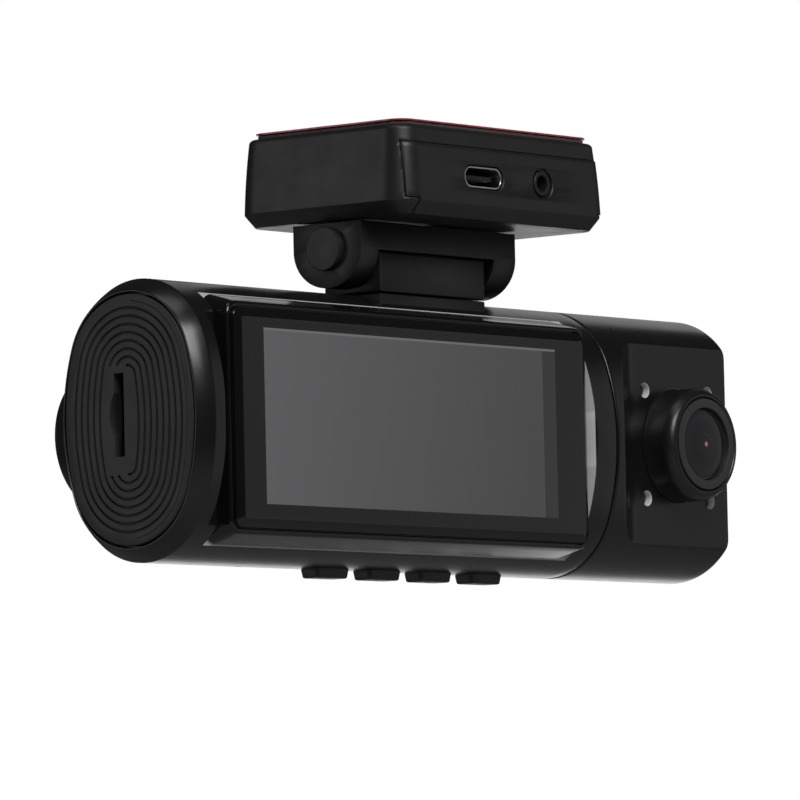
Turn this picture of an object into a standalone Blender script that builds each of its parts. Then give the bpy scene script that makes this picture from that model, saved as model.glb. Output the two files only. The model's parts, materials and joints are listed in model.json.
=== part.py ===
"""Three-channel dash camera on a tilting windshield mount.

Metres, +X to the right as the driver sees the screen, +Y towards the road, +Z up.
The origin is the centre of the face that goes against the glass.
"""
import math

import bmesh
import bpy
from mathutils import Matrix, Vector

# ---- clearances -------------------------------------------------------------
GAP = 0.0003            # between pieces that meet
GLUE_GAP = 0.00015      # between glued layers
RUN_GAP = 0.0001        # radial play of the hinge pin and the swivel sleeve
CUT_OVER = 0.002        # how far a cutter stands out of the surface it opens

# ---- windshield pad and mount base ------------------------------------------
BASE_LENGTH = 0.0498
BASE_DEPTH = 0.0340
BASE_HEIGHT = 0.0134
BASE_CORNER = 0.0045
BASE_CHAMFER = 0.0020
BASE_CHAMFER_INSET = 0.0016
BASE_DRAFT = 0.0009
BASE_WALL = 0.0018
LINER_THICK = 0.00025
LINER_OVERHANG = 0.0002
FOAM_THICK = 0.0004
FOAM_INSET = 0.0022
LID_THICK = 0.0015
PANEL_THICK = 0.0016
PANEL_SIDE = 0.0016     # from the base's end to the port panel
PANEL_TOP = 0.0027      # from the base's top to the port panel
PANEL_STEP = 0.0021     # the panel's foot is narrower by this at each end
PANEL_FOOT = 0.0030     # how far the foot reaches under the base
BOSS_RADIUS = 0.0021
BOSS_SINK = 0.0005      # how far a boss starts inside the floor
BOSS_X = 0.0193
BOSS_Y = 0.0098
LID_SCREW_HOLE = 0.0011
LID_SCREW_SHANK = 0.0008
LID_SCREW_HEAD = 0.0016
LID_SCREW_LENGTH = 0.0057
YOKE_SCREW_HEAD = 0.0012
YOKE_SCREW_LENGTH = 0.0047
YOKE_SCREW_HOLE = 0.0009
HEAD_THICK = 0.0005
SINK_DEPTH = 0.0008
PORT_HEIGHT = 0.0063    # port centres above the base's underside
USB_X = -0.0058
USB_WIDTH = 0.00894
USB_HEIGHT = 0.00326
USB_WALL = 0.0003
USB_DEPTH = 0.0073
USB_RECESS = 0.0003     # receptacle behind the panel's face
TONGUE_WIDTH = 0.0067
TONGUE_THICK = 0.0007
TONGUE_RECESS = 0.0008
TONGUE_ROOT = 0.0014
JACK_X = 0.0083
JACK_MOUTH = 0.0024
JACK_BUSH = 0.0019
JACK_BORE = 0.0014
JACK_BODY = (0.0062, 0.0080, 0.0038)
JACK_END = 0.0010       # wall behind the bore
JACK_RECESS = 0.0002
BOARD_THICK = 0.0012
CONNECTOR_BOARD = (0.0280, 0.0190)
CONNECTOR_BOARD_X = 0.0010
CONNECTOR_BOARD_Y = -0.0043

# ---- tilt hinge -------------------------------------------------------------
HINGE_X = -0.0045
HINGE_DROP = 0.0042     # hinge axis below the base's underside
YOKE_LENGTH = 0.0368
YOKE_DEPTH = 0.0133
YOKE_BOTTOM = 0.0059    # hinge axis to the bottom of the yoke
YOKE_STEPS = 16
NOTCH_LENGTH = 0.0274
NOTCH_SHIFT = -0.0006   # middle of the notch from the middle of the yoke
YOKE_SCREW_SIDE = 0.0014  # notch to the yoke screws
BRIDGE_THICK = 0.0015
BRIDGE_DROP = 0.0003    # lower edge of the front bridge below the axis
NECK_LEFT_SPACE = 0.0008
NECK_RIGHT_SPACE = 0.0018
NECK_FRONT = 0.0062
NECK_BACK = 0.0048
NECK_SHOULDER = 0.0024  # where the knuckle meets the neck's back
KNUCKLE_RADIUS = 0.0030
KNUCKLE_STEPS = 14
PIN_RADIUS = 0.0012
PIN_CAP_RADIUS = 0.00335
PIN_CAP_THICK = 0.0010
WASHER_RADIUS = 0.0028
WASHER_SPACE = 0.00025

# ---- camera body: an oval tube along X --------------------------------------
BODY_LEFT = -0.0656     # left edge of the full oval
HINGE_TO_BODY = 0.0275  # hinge axis down to the tube's axis
TUBE_LENGTH = 0.0940
HALF_DEPTH = 0.0143
HALF_HEIGHT = 0.0207
SIDE_RADIUS = 0.0370    # radius of the oval's flatter front and back
WALL = 0.0020
END_CHAMFER = 0.0027
DISC_INSET = 0.0020     # the disc's edge inside the tube's edge, front and back
DISC_DROP = 0.0024      # the same at the top and the bottom
DISC_THICK = 0.0020
DISC_PROUD = 0.0002
SEAT_LENGTH = 0.0054    # solid ring behind the disc
SEAT_INSET = 0.0033     # the seat's edge inside the disc's edge, front and back
SEAT_DROP = 0.0016
RIGHT_WALL = 0.0025

# ---- screen -----------------------------------------------------------------
FLAT_INSET = 0.0040     # flat faces of the tube behind its frontmost line
SCREEN_LEFT = 0.0047    # from the tube's left edge
SCREEN_RIGHT = 0.0054   # from the tube's right edge
SCREEN_PROUD = 0.0024   # frame in front of the flat
SCREEN_SUNK = 0.0026    # frame behind the flat
SCREEN_DROP = 0.0038    # the frame's front edges below the tube's top line
SCREEN_FOOT_DROP = 0.00245
SCREEN_CORNER = 0.0017
FLAT_STRIP = 0.0024     # flat left of the screen frame
LIP = 0.0005
GLASS_THICK = 0.00225
GLASS_PROUD = 0.00105   # in front of the frame's lip
GLASS_CORNER = 0.0010
WINDOW_SIDE = 0.0040
WINDOW_DROP = 0.0023    # the window's edge inside the frame's front edge
WINDOW_CORNER = 0.0005
LCD_THICK = 0.0016
TRAY_THICK = 0.0010

# ---- buttons ----------------------------------------------------------------
BUTTON_COUNT = 4
BUTTON_MIDDLE = 0.0587  # middle of the row from the tube's left edge
BUTTON_PITCH = 0.0121
BUTTON_LENGTH = 0.0075
BUTTON_DEPTH = 0.0036
BUTTON_CORNER = 0.0006
BUTTON_EDGE = 0.0003    # broken edge around the cap's face
BUTTON_PROUD = 0.0013
BUTTON_FLANGE = 0.0005
BUTTON_FLANGE_THICK = 0.0008
BUTTON_STOP = 0.0009    # flange above the inside of the wall at the row's middle
BUTTON_TRAVEL = 0.0005
SWITCH_SIZE = 0.0036
SWITCH_THICK = 0.0018
SWITCH_BASE = 0.0012
PLUNGER_RADIUS = 0.0009
BUTTON_BOARD_DEPTH = 0.0090
MIC_X = 0.0206
MIC_RADIUS = 0.0006

# ---- inside the body --------------------------------------------------------
MAIN_BOARD_LEFT = 0.0070
MAIN_BOARD_RIGHT = 0.0080   # room for the swivel sleeve
MAIN_BOARD_TOP = 0.0067     # edges inside the tube's top and bottom lines
MAIN_BOARD_BOTTOM = 0.0089
SOCKET_GAP = 0.0014
SOCKET_LENGTH = 0.0150
SOCKET_HEIGHT = 0.0146
SOCKET_THICK = 0.0019
SOCKET_EDGE = 0.0002
SLOT_HEIGHT = 0.0122
SLOT_WIDTH = 0.0019
SLOT_Y = 0.00175
SLOT_Z = 0.0008
THUMB_CHORD = 0.0092
THUMB_DEPTH = 0.0008
THUMB_SINK = 0.0012
CAPACITOR_RADIUS = 0.0040
CAPACITOR_LENGTH = 0.0180
CAPACITOR_X = 0.0300
CAPACITOR_Z = (0.0080, -0.0045)
SPEAKER_RADIUS = 0.0075
SPEAKER_THICK = 0.0035
SPEAKER_X = 0.0720
SPEAKER_GAP = 0.0050    # speaker behind the main board

# ---- cabin camera module ----------------------------------------------------
MODULE_LENGTH = 0.0329
POCKET_LEFT = 0.0068    # seam to the flat, at the flat's level
POCKET_SLOPE = 0.8      # rise of the pocket's end wall for each unit of length
POCKET_BLEND = 0.0080   # radius between the end wall and the flat
LENS_FROM_SEAM = 0.0200
LED_X = 0.0080
LED_Z = 0.0084
LED_RADIUS = 0.0010
LED_HOLE = 0.0013
LED_LENGTH = 0.0026
LED_RECESS = 0.0002
LED_BOARD_EDGE = 0.0017
LED_BOARD_HOLE = 0.0008  # around the lens barrel
SLEEVE_RADIUS = 0.0050
SLEEVE_BORE = 0.0032
SLEEVE_FLANGE = 0.0068
SLEEVE_END = 0.0008     # sleeve beyond its clip
FLANGE_THICK = 0.0010
BEARING_THICK = 0.0020

# ---- the two lenses ---------------------------------------------------------
CABIN_LENS = {
    "base": 0.0088, "rim": 0.0071, "shoulder": 0.0046, "proud": 0.0058,
    "bore": 0.0067, "ring": 0.0064, "glass": 0.0056, "inside": 0.0015,
    "barrel": 0.0056, "barrel_length": 0.0086, "board": 0.0180,
}
ROAD_LENS = {
    "base": 0.0117, "rim": 0.0107, "shoulder": 0.0110, "proud": 0.0135,
    "bore": 0.0092, "ring": 0.0089, "glass": 0.0076, "inside": 0.0000,
    "barrel": 0.0072, "barrel_length": 0.0130, "board": 0.0200,
}
RIM_STEP = 0.0009
RIM_EDGE = 0.0003
RING_EDGE = 0.0002
RING_PROUD = 0.0002
RING_DEPTH = 0.0032
DOME_RISE = 0.0006
DOME_STEPS = 5
GLASS_DEPTH = 0.0016
ROAD_X = 0.0158
ROAD_Z = -0.0009
ROAD_START = 0.0060     # where the road camera's housing begins inside the tube's rearmost line

# ---- smoothness -------------------------------------------------------------
END_STEPS = 12
SIDE_STEPS = 4
ROUND_STEPS = 32
SMALL_STEPS = 16
CORNER_STEPS = 4
BORE_STEPS = 24
FINE_CORNER_STEPS = 2
USB_STEPS = 6
ROUND_LEFT = 1e-5        # straight part left between two half rounds

# ---- worked-out places ------------------------------------------------------
LINER_TOP = 0.0
FOAM_TOP = LINER_TOP - LINER_THICK - GLUE_GAP
BASE_TOP = FOAM_TOP - FOAM_THICK - GLUE_GAP
BASE_BOTTOM = BASE_TOP - BASE_HEIGHT
HINGE_Z = BASE_BOTTOM - HINGE_DROP
AXIS_Z = HINGE_Z - HINGE_TO_BODY
SEAM_X = BODY_LEFT + TUBE_LENGTH
MODULE_LEFT = SEAM_X + GAP
NOTCH_LEFT = HINGE_X + NOTCH_SHIFT - NOTCH_LENGTH / 2
NOTCH_RIGHT = NOTCH_LEFT + NOTCH_LENGTH
NECK_X = (NOTCH_LEFT + NECK_LEFT_SPACE, NOTCH_RIGHT - NECK_RIGHT_SPACE)
FLAT_DEPTH = HALF_DEPTH - FLAT_INSET
DISC_HALF_DEPTH = HALF_DEPTH - DISC_INSET
DISC_HALF_HEIGHT = HALF_HEIGHT - DISC_DROP
SCREEN_LENGTH = TUBE_LENGTH - SCREEN_LEFT - SCREEN_RIGHT
SCREEN_FRONT = FLAT_DEPTH + SCREEN_PROUD
SCREEN_BACK = FLAT_DEPTH - SCREEN_SUNK
SCREEN_HALF_HEIGHT = HALF_HEIGHT - SCREEN_DROP
SCREEN_FOOT_HALF = HALF_HEIGHT - SCREEN_FOOT_DROP
WINDOW_HALF_HEIGHT = SCREEN_HALF_HEIGHT - WINDOW_DROP
GLASS_FRONT = -SCREEN_FRONT - GLASS_PROUD
GLASS_BACK = GLASS_FRONT + GLASS_THICK
SOCKET_Y = SLOT_Y - SOCKET_THICK / 2
BOARD_BACK = SOCKET_Y - GAP
BUTTON_ROW = BODY_LEFT + BUTTON_MIDDLE
BUTTON_X = [BUTTON_ROW + (i - (BUTTON_COUNT - 1) / 2) * BUTTON_PITCH for i in range(BUTTON_COUNT)]

for old in list(bpy.data.objects):
    bpy.data.objects.remove(old, do_unlink=True)

camera_parts = bpy.data.collections.new("dash_camera")
cutters = bpy.data.collections.new("cutters")
bpy.context.scene.collection.children.link(camera_parts)
bpy.context.scene.collection.children.link(cutters)


# ---- materials --------------------------------------------------------------
def plastic(name, colour, roughness, metallic=0.0):
    """A Principled material of one colour."""
    material = bpy.data.materials.new(name)
    material.use_nodes = True
    shader = material.node_tree.nodes["Principled BSDF"]
    shader.inputs["Base Color"].default_value = (*colour, 1.0)
    shader.inputs["Roughness"].default_value = roughness
    shader.inputs["Metallic"].default_value = metallic
    return material


LOOKS = {
    "gloss_black": ((0.012, 0.012, 0.013), 0.16, 0.0),
    "satin_black": ((0.018, 0.018, 0.019), 0.38, 0.0),
    "disc_grey": ((0.035, 0.035, 0.036), 0.55, 0.0),
    "inner_black": ((0.02, 0.02, 0.02), 0.5, 0.0),
    "glass_black": ((0.01, 0.01, 0.012), 0.05, 0.0),
    "lens_glass": ((0.02, 0.015, 0.03), 0.03, 0.0),
    "lcd": ((0.06, 0.06, 0.065), 0.3, 0.0),
    "steel": ((0.62, 0.62, 0.63), 0.28, 1.0),
    "board_green": ((0.02, 0.12, 0.05), 0.5, 0.0),
    "capacitor": ((0.03, 0.05, 0.12), 0.4, 0.0),
    "foam": ((0.04, 0.04, 0.042), 0.9, 0.0),
    "liner_red": ((0.45, 0.02, 0.03), 0.4, 0.0),
    "led": ((0.05, 0.02, 0.03), 0.1, 0.0),
}


def look(kind, name):
    """The piece's own material of one of the finishes."""
    colour, roughness, metallic = LOOKS[kind]
    return plastic(name + "_finish", colour, roughness, metallic)


# ---- outlines ---------------------------------------------------------------
def arc(centre, radius, start, end, steps):
    """Points on an arc from start to end degrees, without the last one."""
    points = []
    for i in range(steps):
        angle = math.radians(start + (end - start) * i / steps)
        points.append((centre[0] + radius * math.cos(angle), centre[1] + radius * math.sin(angle)))
    return points


def circle(radius, steps=ROUND_STEPS, centre=(0.0, 0.0)):
    """A round outline."""
    return arc(centre, radius, 0, 360, steps)


def oval(half_depth, half_height, side_radius=SIDE_RADIUS):
    """The body's section as (y, z): two flat side arcs and two tighter end arcs."""
    end_radius = 2 * side_radius * half_depth - half_depth ** 2 - half_height ** 2
    end_radius /= 2 * (side_radius - half_height)
    side_centre = side_radius - half_depth
    end_centre = half_height - end_radius
    turn = math.degrees(math.atan2(end_centre, side_centre))
    points = arc((-side_centre, 0), side_radius, -turn, turn, SIDE_STEPS)
    points += arc((0, end_centre), end_radius, turn, 180 - turn, END_STEPS)
    points += arc((side_centre, 0), side_radius, 180 - turn, 180 + turn, SIDE_STEPS)
    points += arc((0, -end_centre), end_radius, 180 + turn, 360 - turn, END_STEPS)
    return points


def shell_oval(inset):
    """The body's section moved in by one distance all round."""
    return oval(HALF_DEPTH - inset, HALF_HEIGHT - inset, SIDE_RADIUS - inset)


def flattened(outline, front):
    """The outline with what stands in front of a plane pressed back to it."""
    return [(max(y, -front), z) for y, z in outline]


def rounded_box(length, height, radius, centre=(0.0, 0.0), steps=CORNER_STEPS):
    """A rectangle with round corners."""
    x = length / 2 - radius
    z = height / 2 - radius
    points = []
    for quarter, (sx, sz) in enumerate([(1, 1), (-1, 1), (-1, -1), (1, -1)]):
        corner = (centre[0] + sx * x, centre[1] + sz * z)
        points += arc(corner, radius, quarter * 90, quarter * 90 + 90, steps)
        points.append((corner[0] + radius * math.cos(math.radians(quarter * 90 + 90)),
                       corner[1] + radius * math.sin(math.radians(quarter * 90 + 90))))
    return points


def rectangle(length, height, centre=(0.0, 0.0)):
    """A plain rectangle."""
    half = (length / 2, height / 2)
    signs = [(1, 1), (-1, 1), (-1, -1), (1, -1)]
    return [(centre[0] + sx * half[0], centre[1] + sz * half[1]) for sx, sz in signs]


# ---- solids -----------------------------------------------------------------
TURNS = {
    "x": Matrix(((0, 0, 1), (1, 0, 0), (0, 1, 0))).to_4x4(),
    "y": Matrix(((1, 0, 0), (0, 0, -1), (0, 1, 0))).to_4x4(),
    "z": Matrix.Identity(4),
}


def add_object(name, mesh, material, location, collection=None):
    """Put a mesh in the scene under its own name."""
    piece = bpy.data.objects.new(name, mesh)
    (collection or camera_parts).objects.link(piece)
    piece.location = location
    if material:
        mesh.materials.append(material)
    mesh.shade_smooth()
    mesh.set_sharp_from_angle(angle=math.radians(30))
    return piece


def plate(name, outlines, low, high, along, material=None, location=(0, 0, 0), collection=None):
    """A flat outline, with any holes, filled and drawn out along one axis.

    For along x the outlines are (y, z), for y they are (x, z), for z they are (x, y).
    """
    curve = bpy.data.curves.new(name, "CURVE")
    curve.dimensions = "2D"
    curve.fill_mode = "BOTH"
    curve.extrude = (high - low) / 2
    for outline in outlines:
        spline = curve.splines.new("POLY")
        spline.points.add(len(outline) - 1)
        for point, (u, v) in zip(spline.points, outline):
            point.co = (u, v, 0, 1)
        spline.use_cyclic_u = True
    drawn = bpy.data.objects.new(name + "_outline", curve)
    bpy.context.scene.collection.objects.link(drawn)
    middle = {"x": (1, 0, 0), "y": (0, 1, 0), "z": (0, 0, 1)}[along]
    drawn.matrix_world = Matrix.Translation(Vector(middle) * (low + high) / 2) @ TURNS[along]
    bpy.context.view_layer.update()
    evaluated = drawn.evaluated_get(bpy.context.evaluated_depsgraph_get())
    mesh = bpy.data.meshes.new_from_object(evaluated)
    mesh.transform(drawn.matrix_world)
    bpy.data.objects.remove(drawn, do_unlink=True)
    weld(mesh)
    mesh.name = name
    return add_object(name, mesh, material, location, collection)


def weld(mesh):
    """Close the caps of a mesh made from a curve."""
    cage = bmesh.new()
    cage.from_mesh(mesh)
    bmesh.ops.remove_doubles(cage, verts=cage.verts, dist=1e-6)
    bmesh.ops.recalc_face_normals(cage, faces=cage.faces)
    cage.to_mesh(mesh)
    cage.free()


def loft(name, sections, along, material=None, location=(0, 0, 0), collection=None):
    """A solid through sections [(distance, outline), ...] with equal point counts."""
    cage = bmesh.new()
    rings = []
    for distance, outline in sections:
        ring = []
        for u, v in outline:
            ring.append(cage.verts.new(TURNS[along] @ Vector((u, v, 0))))
        shift = {"x": (1, 0, 0), "y": (0, 1, 0), "z": (0, 0, 1)}[along]
        for vert in ring:
            vert.co += Vector(shift) * distance
        rings.append(ring)
    count = len(rings[0])
    for lower, upper in zip(rings, rings[1:]):
        for i in range(count):
            j = (i + 1) % count
            cage.faces.new((lower[i], lower[j], upper[j], upper[i]))
    cage.faces.new(rings[0])
    cage.faces.new(rings[-1])
    bmesh.ops.recalc_face_normals(cage, faces=cage.faces)
    mesh = bpy.data.meshes.new(name)
    cage.to_mesh(mesh)
    cage.free()
    return add_object(name, mesh, material, location, collection)


def box(name, low, high, material=None, location=(0, 0, 0), collection=None, edge=0.0):
    """A block between two corners, with its edges broken by a small amount."""
    cage = bmesh.new()
    bmesh.ops.create_cube(cage, size=1.0)
    size = Vector(high) - Vector(low)
    bmesh.ops.scale(cage, vec=size, verts=cage.verts)
    bmesh.ops.translate(cage, vec=(Vector(low) + Vector(high)) / 2, verts=cage.verts)
    if edge:
        bmesh.ops.bevel(cage, geom=cage.edges[:], offset=edge, segments=1, affect="EDGES")
    mesh = bpy.data.meshes.new(name)
    cage.to_mesh(mesh)
    cage.free()
    return add_object(name, mesh, material, location, collection)


def turned(name, profile, facing, material, location, steps=ROUND_STEPS):
    """A closed (radius, height) profile turned with Screw, its height along facing."""
    mesh = bpy.data.meshes.new(name)
    cage = bmesh.new()
    verts = [cage.verts.new((radius, 0, height)) for radius, height in profile]
    on_axis = profile[0][0] == 0 and profile[-1][0] == 0
    pairs = list(zip(verts, verts[1:]))
    if not on_axis:
        pairs.append((verts[-1], verts[0]))
    for first, second in pairs:
        cage.edges.new((first, second))
    cage.to_mesh(mesh)
    cage.free()
    piece = bpy.data.objects.new(name, mesh)
    camera_parts.objects.link(piece)
    mesh.materials.append(material)
    screw = piece.modifiers.new("Turn", "SCREW")
    screw.axis = "Z"
    screw.steps = steps
    screw.render_steps = steps
    screw.use_merge_vertices = True
    screw.merge_threshold = 1e-5
    screw.use_smooth_shade = False
    piece.rotation_euler = Vector(facing).to_track_quat("Z", "Y").to_euler()
    piece.location = location
    return piece


def cut(piece, cutter, operation="DIFFERENCE"):
    """Cut the piece with a solid that stays in the cutters' collection."""
    if cutter.name not in cutters.objects:
        for owner in list(cutter.users_collection):
            owner.objects.unlink(cutter)
        cutters.objects.link(cutter)
    cutter.hide_render = True
    cutter.display_type = "WIRE"
    boolean = piece.modifiers.new(operation.title(), "BOOLEAN")
    boolean.operation = operation
    boolean.solver = "EXACT"
    boolean.object = cutter
    return piece


def empty(name, location, parent=None):
    """A pivot that the pieces of one moving group hang on."""
    pivot = bpy.data.objects.new(name, None)
    camera_parts.objects.link(pivot)
    pivot.empty_display_size = 0.005
    pivot.location = location
    if parent:
        hang(pivot, parent)
    return pivot


def hang(piece, parent):
    """Parent a piece and leave it where it is."""
    bpy.context.view_layer.update()
    piece.parent = parent
    piece.matrix_parent_inverse = parent.matrix_world.inverted()
    return piece


# ---- mount base -------------------------------------------------------------
def base_outline(inset):
    """The base's plan moved in by one distance."""
    return rounded_box(BASE_LENGTH - 2 * inset, BASE_DEPTH - 2 * inset, max(BASE_CORNER - inset, WALL / 3))


def base_solid(name, material):
    """The base's outer shape as one block."""
    return loft(name, [
        (BASE_BOTTOM, base_outline(BASE_CHAMFER_INSET)),
        (BASE_BOTTOM + BASE_CHAMFER, base_outline(0)),
        (BASE_TOP, base_outline(BASE_DRAFT)),
    ], "z", material)


def make_pad():
    """Peel-off liner and foam tape."""
    plate("release_liner", [base_outline(FOAM_INSET - LINER_OVERHANG)], LINER_TOP - LINER_THICK, LINER_TOP,
          "z", look("liner_red", "liner"))
    plate("adhesive_pad", [base_outline(FOAM_INSET)], FOAM_TOP - FOAM_THICK, FOAM_TOP,
          "z", look("foam", "foam"))


def panel_outline(grow):
    """The port panel from the front, as (x, z): wide above and narrower below."""
    wide = BASE_LENGTH / 2 - PANEL_SIDE + grow
    narrow = wide - PANEL_STEP
    top = BASE_TOP - PANEL_TOP + grow
    step = BASE_BOTTOM + BASE_CHAMFER + 2 * GAP - grow
    low = BASE_BOTTOM - CUT_OVER
    return [(wide, top), (-wide, top), (-wide, step), (-narrow, step), (-narrow, low),
            (narrow, low), (narrow, step), (wide, step)]


def make_base_shell():
    """Open-topped base with two screw bosses and an opening for the port panel."""
    shell = base_solid("base_shell", look("satin_black", "base_shell"))
    floor = BASE_BOTTOM + BASE_WALL
    inside = BASE_DRAFT + BASE_WALL
    cut(shell, plate("base_hollow", [base_outline(inside)], floor, BASE_TOP + CUT_OVER, "z"))
    cut(shell, plate("panel_cut", [panel_outline(GAP)], -BASE_DEPTH, -BASE_DEPTH / 2 + PANEL_FOOT + GAP, "y"))
    boss_top = BASE_TOP - LID_THICK - GAP
    for i, (x, y) in enumerate(boss_places()):
        boss = plate(f"boss_{i}", [circle(BOSS_RADIUS, SMALL_STEPS, (x, y))],
                     floor - BOSS_SINK, boss_top, "z")
        cut(shell, boss, "UNION")
    for i, (x, y) in enumerate(boss_places()):
        cut(shell, plate(f"boss_hole_{i}", [circle(LID_SCREW_HOLE, SMALL_STEPS, (x, y))],
                         BASE_TOP - LID_SCREW_LENGTH - 4 * GAP, boss_top + CUT_OVER, "z"))
    for i, x in enumerate(yoke_screw_places()):
        cut(shell, plate(f"yoke_screw_hole_{i}", [circle(YOKE_SCREW_HOLE, SMALL_STEPS, (x, 0))],
                         BASE_BOTTOM - CUT_OVER, floor + CUT_OVER, "z"))


def boss_places():
    """Centres of the two lid screws, in opposite corners."""
    return [(-BOSS_X, BOSS_Y), (BOSS_X, -BOSS_Y)]


def yoke_screw_places():
    """X of the two screws that hold the hinge yoke."""
    return [NOTCH_LEFT - YOKE_SCREW_SIDE, NOTCH_RIGHT + YOKE_SCREW_SIDE]


def screw(name, x, y, head_top, head_radius, shank_radius, length):
    """A small screw that points down."""
    head_low = head_top - HEAD_THICK
    turned(name, [
        (0, head_top), (head_radius, head_top), (head_radius, head_low),
        (shank_radius, head_low), (shank_radius, head_top - length), (0, head_top - length),
    ], (0, 0, 1), look("steel", name), (x, y, 0), SMALL_STEPS)


def make_base_lid():
    """Lid that the foam is stuck to, and its two screws."""
    lid = plate("base_lid", [base_outline(BASE_DRAFT + BASE_WALL + GAP)], BASE_TOP - LID_THICK, BASE_TOP,
                "z", look("satin_black", "base_lid"))
    for i, (x, y) in enumerate(boss_places()):
        cut(lid, plate(f"lid_hole_{i}", [circle(LID_SCREW_HOLE, SMALL_STEPS, (x, y))],
                       BASE_TOP - LID_THICK - CUT_OVER, BASE_TOP + CUT_OVER, "z"))
        cut(lid, plate(f"lid_sink_{i}", [circle(LID_SCREW_HEAD + GAP, SMALL_STEPS, (x, y))],
                       BASE_TOP - SINK_DEPTH, BASE_TOP + CUT_OVER, "z"))
        screw(f"lid_screw_{i + 1}", x, y, BASE_TOP - RUN_GAP,
              LID_SCREW_HEAD, LID_SCREW_SHANK, LID_SCREW_LENGTH)


def make_port_panel():
    """Front panel with the two port openings; it wraps the front corners and the lower edge."""
    panel = base_solid("port_panel", look("satin_black", "port_panel"))
    keep = plate("panel_keep", [panel_outline(0)], -BASE_DEPTH, -BASE_DEPTH / 2 + PANEL_FOOT, "y")
    cut(panel, keep, "INTERSECT")
    cut(panel, plate("panel_hollow", [base_outline(BASE_DRAFT + PANEL_THICK)], BASE_BOTTOM + BASE_WALL,
                     BASE_TOP + CUT_OVER, "z"))
    port_z = BASE_BOTTOM + PORT_HEIGHT
    usb_hole = rounded_box(USB_WIDTH + 2 * GAP, USB_HEIGHT + 2 * GAP, USB_HEIGHT / 2 + GAP - ROUND_LEFT,
                           (USB_X, port_z), USB_STEPS)
    behind = -BASE_DEPTH / 2 + PANEL_THICK + CUT_OVER
    cut(panel, plate("usb_opening", [usb_hole], -BASE_DEPTH, behind, "y"))
    cut(panel, plate("jack_opening", [circle(JACK_MOUTH, BORE_STEPS, (JACK_X, port_z))],
                     -BASE_DEPTH, behind, "y"))


def make_ports():
    """USB-C receptacle, AV jack and the board that carries them."""
    port_z = BASE_BOTTOM + PORT_HEIGHT
    front = -BASE_DEPTH / 2 + BASE_DRAFT / 2
    face = front + USB_RECESS
    back = face + USB_DEPTH
    outer = rounded_box(USB_WIDTH, USB_HEIGHT, USB_HEIGHT / 2 - ROUND_LEFT, (USB_X, port_z), USB_STEPS)
    inner_width = USB_WIDTH - 2 * USB_WALL
    inner_height = USB_HEIGHT - 2 * USB_WALL
    inner = rounded_box(inner_width, inner_height, inner_height / 2 - ROUND_LEFT, (USB_X, port_z), USB_STEPS)
    plate("usb_c_shell", [outer, inner], face, back, "y", look("steel", "usb_c_shell"))
    plug = rounded_box(inner_width - 2 * GLUE_GAP, inner_height - 2 * GLUE_GAP,
                       inner_height / 2 - GLUE_GAP - ROUND_LEFT, (USB_X, port_z), USB_STEPS)
    root = back - GLUE_GAP - TONGUE_ROOT
    tongue = plate("usb_c_tongue", [plug], root, back - GLUE_GAP, "y", look("inner_black", "usb_c_tongue"))
    half_thick = TONGUE_THICK / 2
    blade = box("tongue_blade", (USB_X - TONGUE_WIDTH / 2, face + TONGUE_RECESS, port_z - half_thick),
                (USB_X + TONGUE_WIDTH / 2, root + TONGUE_ROOT / 2, port_z + half_thick))
    cut(tongue, blade, "UNION")
    width, depth, height = JACK_BODY
    body_front = -BASE_DEPTH / 2 + BASE_DRAFT + PANEL_THICK + GAP
    jack = plate("av_jack", [circle(JACK_BUSH, BORE_STEPS, (JACK_X, port_z))], front + JACK_RECESS,
                 body_front + JACK_END, "y", look("inner_black", "av_jack"))
    cut(jack, box("jack_body", (JACK_X - width / 2, body_front, port_z - height / 2),
                  (JACK_X + width / 2, body_front + depth, port_z + height / 2)), "UNION")
    cut(jack, plate("jack_bore", [circle(JACK_BORE, BORE_STEPS, (JACK_X, port_z))], front - CUT_OVER,
                    body_front + depth - JACK_END, "y"))
    board_top = port_z - max(height, USB_HEIGHT) / 2 - GAP
    board = rectangle(*CONNECTOR_BOARD, (CONNECTOR_BOARD_X, CONNECTOR_BOARD_Y))
    plate("connector_board", [board], board_top - BOARD_THICK, board_top,
          "z", look("board_green", "connector_board"))


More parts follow.
